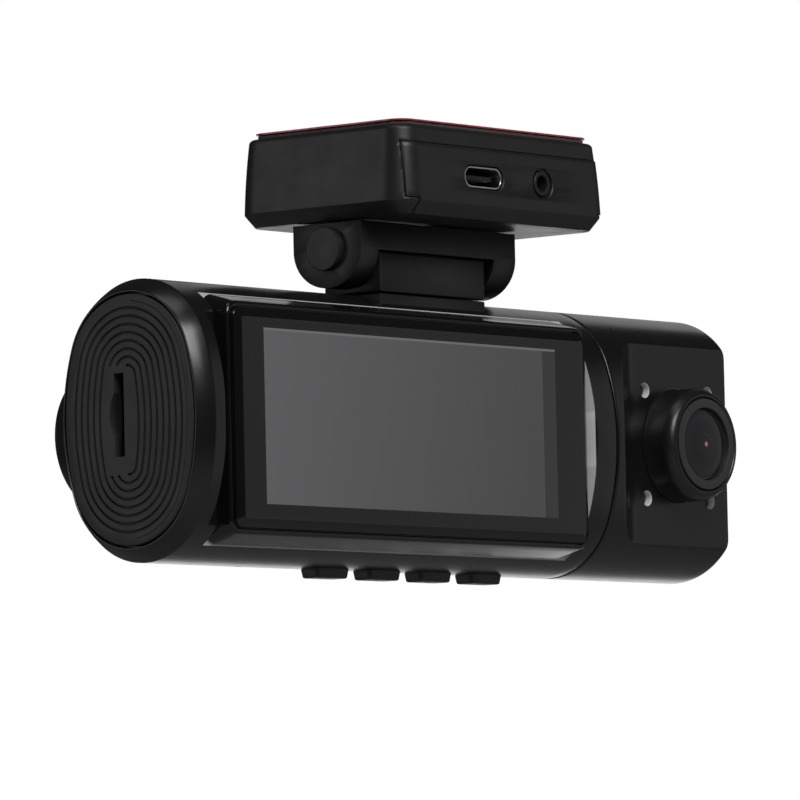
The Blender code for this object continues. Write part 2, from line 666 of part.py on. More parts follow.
def make_yoke():
    """Hinge yoke: two cheeks joined by a bridge along the front."""
    half = YOKE_DEPTH / 2
    outline = [(half, HINGE_DROP - GAP), (-half, HINGE_DROP - GAP)]
    for i in range(YOKE_STEPS + 1):
        angle = math.pi + math.pi * i / YOKE_STEPS
        outline.append((half * math.cos(angle), YOKE_BOTTOM * math.sin(angle)))
    place = (HINGE_X, 0, HINGE_Z)
    yoke = plate("hinge_yoke", [outline], -YOKE_LENGTH / 2, YOKE_LENGTH / 2, "x",
                 look("satin_black", "hinge_yoke"), place)
    left = NOTCH_LEFT - HINGE_X
    right = NOTCH_RIGHT - HINGE_X
    deep = YOKE_DEPTH
    bridge_back = -half + BRIDGE_THICK
    cut(yoke, box("notch_back", (left, bridge_back, -deep), (right, deep, deep), None, place))
    cut(yoke, box("notch_front", (left, -deep, -deep), (right, bridge_back + GAP, -BRIDGE_DROP), None, place))
    cut(yoke, plate("yoke_bore", [circle(PIN_RADIUS + RUN_GAP, BORE_STEPS)],
                    -YOKE_LENGTH, YOKE_LENGTH, "x", None, place))
    head_top = BASE_BOTTOM + BASE_WALL + GAP + HEAD_THICK
    for i, x in enumerate(yoke_screw_places()):
        cut(yoke, plate(f"yoke_thread_{i}", [circle(YOKE_SCREW_HOLE, SMALL_STEPS, (x, 0))],
                        head_top - YOKE_SCREW_LENGTH - GAP, BASE_BOTTOM + CUT_OVER, "z"))
        screw(f"yoke_screw_{i + 1}", x, 0, head_top,
              YOKE_SCREW_HEAD, YOKE_SCREW_HOLE - GAP, YOKE_SCREW_LENGTH)
    end = YOKE_LENGTH / 2 + GLUE_GAP
    for side, name in ((-1, "pin_cap_left"), (1, "pin_cap_right")):
        low, high = sorted((side * end, side * (end + PIN_CAP_THICK)))
        plate(name, [circle(PIN_CAP_RADIUS)], low, high, "x", look("satin_black", name), place)
    plate("hinge_pin", [circle(PIN_RADIUS, BORE_STEPS)], -end + GAP, end - GAP,
          "x", look("steel", "hinge_pin"), place)
    spaces = (("friction_washer_left", NOTCH_LEFT, NECK_X[0]),
              ("friction_washer_right", NECK_X[1], NOTCH_RIGHT))
    for name, low, high in spaces:
        plate(name, [circle(WASHER_RADIUS, BORE_STEPS), circle(PIN_RADIUS + RUN_GAP, BORE_STEPS)],
              low + WASHER_SPACE, high - WASHER_SPACE, "x", look("steel", name), (0, 0, HINGE_Z))


# ---- camera body ------------------------------------------------------------
def body_place():
    """Where the tube's axis meets its left edge."""
    return (BODY_LEFT, 0, AXIS_Z)


def make_neck():
    """Neck bracket that turns on the hinge pin."""
    shoulder = -BRIDGE_DROP - GAP
    bottom = -(HINGE_TO_BODY - HALF_HEIGHT) + GAP
    start = math.degrees(math.asin(shoulder / KNUCKLE_RADIUS))
    outline = [(-NECK_FRONT, bottom), (-NECK_FRONT, shoulder)]
    outline += arc((0, 0), KNUCKLE_RADIUS, 180 - start, 0, KNUCKLE_STEPS)
    outline += [(KNUCKLE_RADIUS, 0), (NECK_BACK, -NECK_SHOULDER), (NECK_BACK, bottom)]
    plate("neck_bracket", [outline, circle(PIN_RADIUS + RUN_GAP, BORE_STEPS)], NECK_X[0], NECK_X[1], "x",
          look("satin_black", "neck_bracket"), (0, 0, HINGE_Z))


def make_tube():
    """Main housing: the oval tube with all its openings."""
    place = body_place()
    opening = oval(DISC_HALF_DEPTH + GAP, DISC_HALF_HEIGHT + GAP)
    rim = oval(DISC_HALF_DEPTH + 2 * GAP, DISC_HALF_HEIGHT + 2 * GAP)
    tube = loft("main_housing", [(-END_CHAMFER, rim), (0, shell_oval(0)), (TUBE_LENGTH, shell_oval(0))],
                "x", look("gloss_black", "main_housing"), place)
    plinth = box("plinth", (NECK_X[0], -NECK_FRONT, AXIS_Z), (NECK_X[1], NECK_BACK, AXIS_Z + HALF_HEIGHT))
    cut(tube, plinth, "UNION")
    seat = oval(DISC_HALF_DEPTH - SEAT_INSET, DISC_HALF_HEIGHT - SEAT_DROP)
    seat_x = -END_CHAMFER - DISC_PROUD + DISC_THICK + GAP
    hollow = loft("tube_hollow", [
        (-END_CHAMFER - CUT_OVER, opening), (seat_x, opening), (seat_x, seat),
        (seat_x + SEAT_LENGTH, seat), (seat_x + SEAT_LENGTH, shell_oval(WALL)),
        (TUBE_LENGTH - RIGHT_WALL, shell_oval(WALL)),
    ], "x", None, place)
    cut(tube, hollow)
    wide = HALF_HEIGHT + CUT_OVER
    left = SCREEN_LEFT - FLAT_STRIP
    right = SCREEN_LEFT + SCREEN_LENGTH + GAP
    cut(tube, box("flat_cut", (left, -2 * HALF_DEPTH, -wide), (right, -FLAT_DEPTH, wide), None, place))
    foot = SCREEN_FOOT_HALF + GAP
    cut(tube, box("screen_cut", (SCREEN_LEFT - GAP, -2 * HALF_DEPTH, -foot),
                  (right, -SCREEN_BACK + GAP, foot), None, place))
    under = -HALF_HEIGHT - CUT_OVER
    for i, x in enumerate(BUTTON_X):
        hole = rounded_box(BUTTON_LENGTH + 2 * GAP, BUTTON_DEPTH + 2 * GAP, BUTTON_CORNER + GAP, (x, 0))
        cut(tube, plate(f"button_hole_{i}", [hole], under, -HALF_HEIGHT / 2, "z", None, (0, 0, AXIS_Z)))
    cut(tube, plate("microphone_hole", [circle(MIC_RADIUS, SMALL_STEPS, (MIC_X, 0))], under,
                    -HALF_HEIGHT / 2, "z", None, place))
    cut(tube, plate("road_hole", [circle(ROAD_LENS["base"] + GAP, ROUND_STEPS, (ROAD_X, ROAD_Z))],
                    HALF_DEPTH / 2, 2 * HALF_DEPTH, "y", None, place))
    cut(tube, plate("sleeve_hole", [circle(SLEEVE_RADIUS + RUN_GAP)], TUBE_LENGTH - RIGHT_WALL - CUT_OVER,
                    TUBE_LENGTH + CUT_OVER, "x", None, place))


def make_end_disc():
    """Left end disc with the card slot and its thumb recess."""
    outer = -END_CHAMFER - DISC_PROUD
    slot = rounded_box(SLOT_WIDTH, SLOT_HEIGHT, SLOT_WIDTH / 8, (SLOT_Y, SLOT_Z), 2)
    disc = plate("end_disc", [oval(DISC_HALF_DEPTH, DISC_HALF_HEIGHT), slot], outer, outer + DISC_THICK, "x",
                 look("disc_grey", "end_disc"), body_place())
    sagitta = SLOT_WIDTH / 2 + THUMB_DEPTH
    radius = (THUMB_CHORD ** 2 / 4 + sagitta ** 2) / (2 * sagitta)
    thumb = plate("thumb_recess", [circle(radius, ROUND_STEPS, (SLOT_Y + sagitta - radius, SLOT_Z))],
                  outer - CUT_OVER, outer + THUMB_SINK, "x", None, body_place())
    left, low, behind = body_place()
    keep = box("thumb_side", (left - TUBE_LENGTH, low + SLOT_Y, behind - TUBE_LENGTH),
               (left + TUBE_LENGTH, low + TUBE_LENGTH, behind + TUBE_LENGTH))
    cut(thumb, keep, "INTERSECT")
    cut(disc, thumb)


def screen_outline(inset, half_height, radius):
    """The screen frame's outline, in (x, z) from the tube's left edge."""
    length = SCREEN_LENGTH - 2 * inset
    return rounded_box(length, 2 * (half_height - inset), radius, (SCREEN_LEFT + SCREEN_LENGTH / 2, 0))


def make_screen():
    """Frame, cover glass, panel and tray of the screen."""
    place = body_place()
    foot = screen_outline(0, SCREEN_FOOT_HALF, SCREEN_CORNER)
    front = screen_outline(0, SCREEN_HALF_HEIGHT, SCREEN_CORNER)
    frame = loft("screen_frame", [(-SCREEN_FRONT, front), (-SCREEN_BACK, foot)], "y",
                 look("gloss_black", "screen_frame"), place)
    pocket = screen_outline(LIP, SCREEN_HALF_HEIGHT, GLASS_CORNER + GAP)
    cut(frame, plate("glass_pocket", [pocket], -SCREEN_FRONT - CUT_OVER, GLASS_BACK + GAP, "y", None, place))
    centre = (SCREEN_LEFT + SCREEN_LENGTH / 2, 0)
    length = SCREEN_LENGTH - 2 * WINDOW_SIDE
    height = 2 * WINDOW_HALF_HEIGHT
    window = rounded_box(length, height, WINDOW_CORNER, centre, 2)
    cut(frame, plate("window", [window], -SCREEN_FRONT - CUT_OVER, -SCREEN_BACK + CUT_OVER, "y", None, place))
    plate("screen_glass", [screen_outline(LIP + GAP, SCREEN_HALF_HEIGHT, GLASS_CORNER)],
          GLASS_FRONT, GLASS_BACK, "y", look("glass_black", "screen_glass"), place)
    inner = rectangle(length - 2 * GAP, height - 2 * GAP, centre)
    lcd_front = GLASS_BACK + GAP
    lcd_back = lcd_front + LCD_THICK
    plate("lcd_panel", [inner], lcd_front, lcd_back, "y", look("lcd", "lcd_panel"), place)
    plate("lcd_tray", [inner], lcd_back + GAP, lcd_back + GAP + TRAY_THICK,
          "y", look("steel", "lcd_tray"), place)


def make_buttons(pivot):
    """Four keycaps, their switches and the board above them."""
    face = -HALF_HEIGHT - BUTTON_PROUD
    flange_low = -HALF_HEIGHT + WALL + BUTTON_STOP
    flange_high = flange_low + BUTTON_FLANGE_THICK
    switch_low = flange_high + BUTTON_TRAVEL + RUN_GAP
    board_low = switch_low + SWITCH_THICK + GAP
    outline = rounded_box(BUTTON_LENGTH, BUTTON_DEPTH, BUTTON_CORNER, steps=FINE_CORNER_STEPS)
    small = rounded_box(BUTTON_LENGTH - 2 * BUTTON_EDGE, BUTTON_DEPTH - 2 * BUTTON_EDGE,
                        BUTTON_CORNER - BUTTON_EDGE, steps=FINE_CORNER_STEPS)
    flange = rectangle(BUTTON_LENGTH + 2 * BUTTON_FLANGE, BUTTON_DEPTH + 2 * BUTTON_FLANGE)
    for i, x in enumerate(BUTTON_X):
        name = f"button_{i + 1}"
        place = (x, 0, AXIS_Z)
        cap = loft(name, [(face, small), (face + BUTTON_EDGE, outline), (flange_low + GAP, outline)],
                   "z", look("satin_black", name), place)
        cut(cap, plate(name + "_flange", [flange], flange_low, flange_high, "z", None, place), "UNION")
        hang(cap, pivot)
        name = f"tact_switch_{i + 1}"
        half = SWITCH_SIZE / 2
        switch = box(name, (-half, -half, switch_low + SWITCH_THICK - SWITCH_BASE),
                     (half, half, switch_low + SWITCH_THICK), look("steel", name), place)
        plunger = plate(f"plunger_{i}", [circle(PLUNGER_RADIUS, SMALL_STEPS)],
                        switch_low, switch_low + SWITCH_THICK / 2, "z", None, place)
        cut(switch, plunger, "UNION")
    length = (BUTTON_COUNT - 1) * BUTTON_PITCH + BUTTON_LENGTH
    plate("button_board", [rectangle(length, BUTTON_BOARD_DEPTH, (BUTTON_MIDDLE, 0))], board_low,
          board_low + BOARD_THICK, "z", look("board_green", "button_board"), body_place())


def make_electronics():
    """Main board and what is on it."""
    place = body_place()
    right = TUBE_LENGTH - RIGHT_WALL - MAIN_BOARD_RIGHT
    top = HALF_HEIGHT - MAIN_BOARD_TOP
    bottom = -HALF_HEIGHT + MAIN_BOARD_BOTTOM
    middle = ((right + MAIN_BOARD_LEFT) / 2, (top + bottom) / 2)
    board = rectangle(right - MAIN_BOARD_LEFT, top - bottom, middle)
    plate("main_board", [board], BOARD_BACK - BOARD_THICK, BOARD_BACK,
          "y", look("board_green", "main_board"), place)
    socket_left = SEAT_LENGTH + SOCKET_GAP
    box("card_socket", (socket_left, SOCKET_Y, SLOT_Z - SOCKET_HEIGHT / 2),
        (socket_left + SOCKET_LENGTH, SOCKET_Y + SOCKET_THICK, SLOT_Z + SOCKET_HEIGHT / 2),
        look("steel", "card_socket"), place, edge=SOCKET_EDGE)
    for i, z in enumerate(CAPACITOR_Z):
        name = f"supercapacitor_{i + 1}"
        centre = (BOARD_BACK + GAP + CAPACITOR_RADIUS, z)
        plate(name, [circle(CAPACITOR_RADIUS, 20, centre)], CAPACITOR_X, CAPACITOR_X + CAPACITOR_LENGTH,
              "x", look("capacitor", name), place)
    start = BOARD_BACK + SPEAKER_GAP
    plate("speaker", [circle(SPEAKER_RADIUS, 28, (SPEAKER_X, 0.0))], start, start + SPEAKER_THICK, "y",
          look("inner_black", "speaker"), place)


# ---- lenses -----------------------------------------------------------------
def make_lens(prefix, sizes, face, facing, x, z, place):
    """Stepped housing, retaining ring, front glass, lens barrel and sensor board.

    face is the distance of the surface from the tube's axis, and facing is -1 for
    the driver's side and 1 for the road's side.
    """
    origin = (place[0] + x, place[1] + facing * face, place[2] + z)
    aim = (0, facing, 0)
    top = sizes["proud"]
    foot = -sizes["inside"]
    rim = sizes["rim"]
    turned(prefix + "_lens_housing", [
        (rim - RIM_EDGE, top), (rim, top - RIM_EDGE), (rim, top - RIM_STEP),
        (sizes["base"], sizes["shoulder"]), (sizes["base"], foot),
        (sizes["bore"], foot), (sizes["bore"], top),
    ], aim, look("satin_black", prefix + "_lens_housing"), origin)
    ring = sizes["ring"]
    ring_top = top + RING_PROUD
    ring_low = ring_top - RING_DEPTH
    glass = sizes["glass"]
    turned(prefix + "_lens_ring", [
        (ring - RING_EDGE, ring_top), (ring, ring_top - RING_EDGE), (ring, ring_low),
        (glass + GAP, ring_low), (glass + GAP, ring_top),
    ], aim, look("inner_black", prefix + "_lens_ring"), origin)
    dome = []
    for i in range(DOME_STEPS + 1):
        share = i / DOME_STEPS
        dome.append((glass * share, ring_top - DOME_RISE * share ** 2))
    glass_low = ring_top - GLASS_DEPTH
    dome += [(glass, glass_low), (0, glass_low)]
    turned(prefix + "_lens_glass", dome, aim, look("lens_glass", prefix + "_lens_glass"), origin)
    barrel_top = glass_low - GAP
    barrel_low = barrel_top - sizes["barrel_length"]
    turned(prefix + "_lens_barrel", [
        (0, barrel_top), (sizes["barrel"], barrel_top), (sizes["barrel"], barrel_low), (0, barrel_low),
    ], aim, look("inner_black", prefix + "_lens_barrel"), origin)
    board_high = barrel_low - GAP
    low, high = sorted((facing * (face + board_high - BOARD_THICK), facing * (face + board_high)))
    plate(prefix + "_sensor_board", [rectangle(sizes["board"], sizes["board"], (x, z))], low, high, "y",
          look("board_green", prefix + "_sensor_board"), place)


# ---- cabin camera module ----------------------------------------------------
def pocket_outline():
    """The pocket in plan, as (x, y): an end wall that blends into the flat."""
    rise = 2 * HALF_DEPTH
    run = (rise - FLAT_DEPTH) / POCKET_SLOPE
    slope = math.atan(POCKET_SLOPE)
    length = POCKET_BLEND * math.tan(slope / 2)
    centre = (POCKET_LEFT + length, -FLAT_DEPTH - POCKET_BLEND)
    outline = [(POCKET_LEFT - run, -rise), (2 * MODULE_LENGTH, -rise), (2 * MODULE_LENGTH, -FLAT_DEPTH)]
    outline += arc(centre, POCKET_BLEND, 90, 90 + math.degrees(slope), CORNER_STEPS)
    last = math.pi / 2 + slope
    outline.append((centre[0] + POCKET_BLEND * math.cos(last), centre[1] + POCKET_BLEND * math.sin(last)))
    return outline


def make_module():
    """End module with its flat pocket, bearing plate, lens and lamps."""
    place = (MODULE_LEFT, 0, AXIS_Z)
    shell = loft("cabin_housing", [(0, shell_oval(0)), (MODULE_LENGTH, shell_oval(0))], "x",
                 look("gloss_black", "cabin_housing"), place)
    front = FLAT_DEPTH - WALL
    inside = flattened(shell_oval(WALL), front)
    cut(shell, loft("module_hollow", [(-CUT_OVER, inside), (MODULE_LENGTH - WALL, inside)], "x", None, place))
    wide = HALF_HEIGHT + CUT_OVER
    cut(shell, plate("pocket_cut", [pocket_outline()], -wide, wide, "z", None, place))
    lens_x = LENS_FROM_SEAM
    cut(shell, plate("cabin_lens_hole", [circle(CABIN_LENS["base"] + GAP, ROUND_STEPS, (lens_x, 0))],
                     -2 * HALF_DEPTH, 0, "y", None, place))
    lamp_face = -FLAT_DEPTH + LED_RECESS
    board_front = lamp_face + LED_LENGTH + GAP
    for i, (sx, sz) in enumerate([(-1, 1), (1, 1), (-1, -1), (1, -1)]):
        spot = (lens_x + sx * LED_X, sz * LED_Z)
        name = f"infrared_led_{i + 1}"
        cut(shell, plate(f"lamp_hole_{i}", [circle(LED_HOLE, SMALL_STEPS, spot)],
                         -2 * HALF_DEPTH, 0, "y", None, place))
        plate(name, [circle(LED_RADIUS, SMALL_STEPS, spot)], lamp_face, lamp_face + LED_LENGTH,
              "y", look("led", name), place)
    board = rectangle(2 * (LED_X + LED_BOARD_EDGE), 2 * (LED_Z + LED_BOARD_EDGE), (lens_x, 0))
    hole = circle(CABIN_LENS["barrel"] + LED_BOARD_HOLE, ROUND_STEPS, (lens_x, 0))
    plate("led_board", [board, hole], board_front, board_front + BOARD_THICK, "y",
          look("board_green", "led_board"), place)
    make_lens("cabin", CABIN_LENS, FLAT_DEPTH, -1, lens_x, 0, place)
    bearing = flattened(shell_oval(WALL + GAP), front - GAP)
    plate("bearing_plate", [bearing, circle(SLEEVE_RADIUS + GLUE_GAP)], GAP, GAP + BEARING_THICK, "x",
          look("inner_black", "bearing_plate"), place)


def make_sleeve():
    """Hollow sleeve that joins the module to the tube, and its clip."""
    place = (SEAM_X, 0, AXIS_Z)
    flange_high = -RIGHT_WALL - GAP
    flange_low = flange_high - FLANGE_THICK
    clip_low = GAP + GAP + BEARING_THICK + GAP
    clip_high = clip_low + FLANGE_THICK
    outer_end = clip_high + SLEEVE_END
    turned("swivel_sleeve", [
        (SLEEVE_RADIUS, outer_end), (SLEEVE_RADIUS, flange_high), (SLEEVE_FLANGE, flange_high),
        (SLEEVE_FLANGE, flange_low), (SLEEVE_BORE, flange_low), (SLEEVE_BORE, outer_end),
    ], (1, 0, 0), look("steel", "swivel_sleeve"), place)
    plate("sleeve_clip", [circle(SLEEVE_FLANGE), circle(SLEEVE_RADIUS + GLUE_GAP)], clip_low, clip_high,
          "x", look("steel", "sleeve_clip"), place)


# ---- build ------------------------------------------------------------------
make_pad()
make_base_shell()
make_base_lid()
make_port_panel()
make_ports()
make_yoke()
root_pieces = {piece.name for piece in camera_parts.objects}

camera_pivot = empty("camera_pivot", (HINGE_X, 0, HINGE_Z))
module_pivot = empty("module_pivot", (MODULE_LEFT, 0, AXIS_Z), camera_pivot)
make_neck()
make_tube()
make_end_disc()
make_screen()
make_buttons(camera_pivot)
make_electronics()
make_lens("road", ROAD_LENS, HALF_DEPTH - ROAD_START, 1, ROAD_X, ROAD_Z, body_place())
make_sleeve()
body_pieces = {piece.name for piece in camera_parts.objects} - root_pieces
make_module()

for piece in list(camera_parts.objects):
    if piece.type != "MESH" or piece.name in root_pieces or piece.parent:
        continue
    hang(piece, camera_pivot if piece.name in body_pieces else module_pivot)
bpy.context.view_layer.update()
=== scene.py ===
import json
import math
from functools import partial

import bmesh
import bpy
from mathutils import Matrix, Vector


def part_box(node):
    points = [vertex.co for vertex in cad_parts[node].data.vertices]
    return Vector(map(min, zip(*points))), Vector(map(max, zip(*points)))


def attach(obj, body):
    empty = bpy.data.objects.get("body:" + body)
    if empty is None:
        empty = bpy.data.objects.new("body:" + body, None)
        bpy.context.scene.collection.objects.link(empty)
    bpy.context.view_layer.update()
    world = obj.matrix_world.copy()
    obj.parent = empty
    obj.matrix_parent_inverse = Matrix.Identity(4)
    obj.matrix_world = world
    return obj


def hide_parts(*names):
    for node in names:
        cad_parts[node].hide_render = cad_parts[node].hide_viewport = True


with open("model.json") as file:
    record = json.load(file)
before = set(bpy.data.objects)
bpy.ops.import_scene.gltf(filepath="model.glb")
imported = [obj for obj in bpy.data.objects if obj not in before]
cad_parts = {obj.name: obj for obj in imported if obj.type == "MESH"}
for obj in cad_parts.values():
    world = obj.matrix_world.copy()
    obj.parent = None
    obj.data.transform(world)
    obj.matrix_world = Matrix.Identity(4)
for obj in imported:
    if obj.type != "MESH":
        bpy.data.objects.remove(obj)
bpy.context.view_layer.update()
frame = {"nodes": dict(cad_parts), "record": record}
cadNodes = frame["nodes"]
bodyOf = {node: body for body, nodes in frame["record"]["behaviour"]["bodies"].items() for node in nodes}
slotOf = {part["node"]: part["material_slot"] for part in frame["record"]["subparts"]}
print("frame loaded:", len(cadNodes), "nodes")

# the tube's own axes: millimetres from its left edge, from its axis towards the road, and up
mm = 0.001
tubeLow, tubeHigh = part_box("main_housing")
tubeSizes = {"length": 94.0, "sideRadius": 37.0, "endChamfer": 2.7, "rimInset": 1.40, "mouthInset": 1.70,
             "endSqueeze": 0.979, "flatDepth": 10.3, "flatLeft": 2.3, "flatRight": 88.9, "wall": 2.0,
             "windowLeft": 4.4, "windowHalfHeight": 18.55, "windowBack": -7.4, "buttonHole": (7.80, 3.90, 0.78),
             "resetX": 20.6, "resetRadius": 0.55, "roadSpot": (15.8, -0.9), "roadRadius": 11.85,
             "swivelRadius": 5.2, "holeEdge": 0.2, "edgeRound": 0.22, "plinthFoot": 8.0, "plinthEdge": 0.18}
tubeLeft = tubeHigh.x - tubeSizes["length"] * mm
axisZ = (tubeLow.z + tubeHigh.z) / 2
halfDepth = -tubeLow.y / mm
halfHeight = (tubeHigh.z - tubeLow.z) / 2 / mm
sideRadius = tubeSizes["sideRadius"]
endRadius = (2 * sideRadius * halfDepth - halfDepth ** 2 - halfHeight ** 2) / (2 * (sideRadius - halfHeight))


def place(x, y, z):
    return Vector((tubeLeft + x * mm, y * mm, axisZ + z * mm))


def middle(node):
    low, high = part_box(node)
    return (low + high) / 2


# ---- finishes: every colour sits on the shader's own socket, the detail comes from Object coordinates

def addNode(tree, kind, values=None, **settings):
    made = tree.nodes.new(kind)
    for name, value in settings.items():
        setattr(made, name, value)
    for key, value in (values or {}).items():
        if isinstance(value, bpy.types.NodeSocket):
            tree.links.new(value, made.inputs[key])
        else:
            made.inputs[key].default_value = value
    return made


def calc(tree, operation, *values):
    return addNode(tree, "ShaderNodeMath", dict(enumerate(values)), operation=operation).outputs[0]


def objectPoint(tree):
    return addNode(tree, "ShaderNodeTexCoord").outputs["Object"]


def noise(tree, point, scale, detail, **extra):
    values = {"Vector": point, "Scale": scale, "Detail": detail, **extra}
    return addNode(tree, "ShaderNodeTexNoise", values).outputs["Fac"]


def stretched(tree, point, scale):
    return addNode(tree, "ShaderNodeMapping", {"Vector": point, "Scale": scale}).outputs[0]


def mixed(tree, factor, under, over):
    return addNode(tree, "ShaderNodeMix", {0: factor, 6: under, 7: over}, data_type="RGBA").outputs[2]


def shade(colour, factor):
    return (*[min(1, c * factor) for c in colour], 1)


def newFinish(name, colour, roughness, **extra):
    material = bpy.data.materials.new(name)
    material.use_nodes = True
    shader = material.node_tree.nodes["Principled BSDF"]
    shader.inputs["Base Color"].default_value = (*colour, 1)
    shader.inputs["Roughness"].default_value = roughness
    for socket, value in extra.items():
        shader.inputs[socket.replace("_", " ")].default_value = value
    return material, material.node_tree, shader


def toneFrom(tree, shader, factor, under, over):
    tree.links.new(mixed(tree, factor, under, over), shader.inputs["Base Color"])


def glossFrom(tree, shader, factor, low, high, start=0.0, end=1.0):
    gloss = addNode(tree, "ShaderNodeMapRange", {"Value": factor, "From Min": start, "From Max": end,
                                                  "To Min": low, "To Max": high})
    tree.links.new(gloss.outputs["Result"], shader.inputs["Roughness"])


def bumpFrom(tree, shader, height, strength, distance):
    bump = addNode(tree, "ShaderNodeBump", {"Height": height, "Strength": strength, "Distance": distance * mm})
    tree.links.new(bump.outputs["Normal"], shader.inputs["Normal"])


def moulded(name, colour, roughness, grain=0.12, height=0.003, shift=0.25, spread=0.06):
    # moulded plastic: spark-eroded grain, clouded tone, slightly uneven gloss
    material, tree, shader = newFinish(name, colour, roughness)
    point = objectPoint(tree)
    clouds = noise(tree, point, 60, 4, Roughness=0.6)
    toneFrom(tree, shader, clouds, shade(colour, 1 - shift), shade(colour, 1 + shift))
    handling = noise(tree, point, 170, 5, Roughness=0.7)
    glossFrom(tree, shader, handling, roughness - spread, roughness + spread, 0.3, 0.7)
    pits = addNode(tree, "ShaderNodeTexVoronoi", {"Vector": point, "Scale": 1 / (grain * mm * 2)},
                   feature="SMOOTH_F1").outputs["Distance"]
    bumpFrom(tree, shader, calc(tree, "ADD", pits, noise(tree, point, 1 / (grain * mm), 3)), 0.35, height)
    return material


def polished(name, colour, roughness, ripple=0.0015):
    # polished plastic: a faint ripple in the mould and fine hairlines in the gloss
    material, tree, shader = newFinish(name, colour, roughness)
    point = objectPoint(tree)
    hairlines = noise(tree, stretched(tree, point, (60, 900, 900)), 1, 6, Roughness=0.75)
    glossFrom(tree, shader, hairlines, roughness, roughness * 1.7, 0.35, 0.75)
    waves = noise(tree, point, 130, 2)
    toneFrom(tree, shader, waves, shade(colour, 0.8), shade(colour, 1.2))
    bumpFrom(tree, shader, waves, 0.2, ripple)
    return material


def brushed(name, colour, roughness, along=(30, 2500, 2500)):
    # plated or drawn metal with fine lines along one axis
    material, tree, shader = newFinish(name, colour, roughness, Metallic=1.0)
    lines = noise(tree, stretched(tree, objectPoint(tree), along), 1, 4)
    glossFrom(tree, shader, lines, roughness * 0.6, roughness * 1.5)
    toneFrom(tree, shader, lines, shade(colour, 0.85), shade(colour, 1.1))
    bumpFrom(tree, shader, lines, 0.15, 0.002)
    return material


def solderMask(name):
    # circuit board: solder mask with copper tracks under it and bare pads
    material, tree, shader = newFinish(name, (0.02, 0.12, 0.05), 0.4, Coat_Weight=0.3, Coat_Roughness=0.2)
    point = objectPoint(tree)
    tracks = addNode(tree, "ShaderNodeTexBrick", {"Vector": point, "Scale": 220, "Color1": (0.02, 0.14, 0.06, 1),
                                                  "Color2": (0.015, 0.10, 0.045, 1), "Mortar": (0.05, 0.22, 0.08, 1),
                                                  "Mortar Size": 0.05})
    pads = addNode(tree, "ShaderNodeTexVoronoi", {"Vector": point, "Scale": 450})
    bare = calc(tree, "LESS_THAN", pads.outputs["Distance"], 0.16)
    toneFrom(tree, shader, bare, tracks.outputs["Color"], (0.6, 0.55, 0.42, 1))
    return material


def cellFoam(name, colour):
    # closed-cell tape: small cells cut open at the edge
    material, tree, shader = newFinish(name, colour, 0.85, Sheen_Weight=0.2)
    cells = addNode(tree, "ShaderNodeTexVoronoi", {"Vector": objectPoint(tree), "Scale": 5500}).outputs["Distance"]
    toneFrom(tree, shader, cells, shade(colour, 0.5), shade(colour, 1.6))
    bumpFrom(tree, shader, cells, 0.8, 0.05)
    return material


def releaseFilm(name):
    # red liner film: thin colour shifts where it has lifted from the glue, light creases
    material, tree, shader = newFinish(name, (0.42, 0.015, 0.03), 0.32, Coat_Weight=0.5, Coat_Roughness=0.15)
    point = objectPoint(tree)
    lifted = noise(tree, point, 90, 3, Distortion=0.6)
    toneFrom(tree, shader, lifted, (0.33, 0.008, 0.018, 1), (0.55, 0.03, 0.05, 1))
    creases = addNode(tree, "ShaderNodeTexWave", {"Vector": point, "Scale": 45, "Distortion": 9, "Detail": 3})
    bumpFrom(tree, shader, creases.outputs["Fac"], 0.15, 0.05)
    return material


displaySizes = {"left": 11.56, "right": 79.66, "low": -12.5, "high": 13.2, "strip": 3.1, "line": 0.35}


def coverGlass(name):
    # one laminated front: black print at the border; inside, the sleeping display's grey with painted light falling
    # off from left to right, a darker strip at the right and a painted highlight line along the top
    material, tree, shader = newFinish(name, (0.01, 0.01, 0.01), 0.05, Specular_IOR_Level=0.55)
    point = objectPoint(tree)
    split = addNode(tree, "ShaderNodeSeparateXYZ", {0: point}).outputs

    def between(socket, low, high):
        return calc(tree, "MULTIPLY", calc(tree, "GREATER_THAN", socket, low), calc(tree, "LESS_THAN", socket, high))

    s = displaySizes
    low, high = place(s["left"], 0, s["low"]), place(s["right"], 0, s["high"])
    inside = calc(tree, "MULTIPLY", between(split["X"], low.x, high.x), between(split["Z"], low.z, high.z))
    stripX = high.x - s["strip"] * mm
    # painted light: the display is painted lighter at the left and darker towards the right strip, with a little
    # random mottle
    paintedLightFade = addNode(tree, "ShaderNodeMapRange", {"Value": split["X"], "From Min": low.x, "From Max": stripX})
    paintedLightFadeMottled = calc(tree, "MULTIPLY_ADD", noise(tree, point, 25, 2), 0.12, paintedLightFade.outputs[0])
    seen = mixed(tree, paintedLightFadeMottled, (0.165, 0.167, 0.172, 1), (0.098, 0.099, 0.103, 1))
    seen = mixed(tree, calc(tree, "GREATER_THAN", split["X"], stripX), seen, (0.045, 0.046, 0.048, 1))
    # painted highlight: a thin light line painted along the top of the display
    paintedHighlightZ = high.z - s["line"] * mm
    seen = mixed(tree, calc(tree, "GREATER_THAN", split["Z"], paintedHighlightZ), seen, (0.22, 0.222, 0.226, 1))
    toneFrom(tree, shader, inside, (0.006, 0.006, 0.007, 1), seen)
    glossFrom(tree, shader, noise(tree, point, 70, 6, Roughness=0.7), 0.045, 0.10, 0.4, 0.75)
    return material


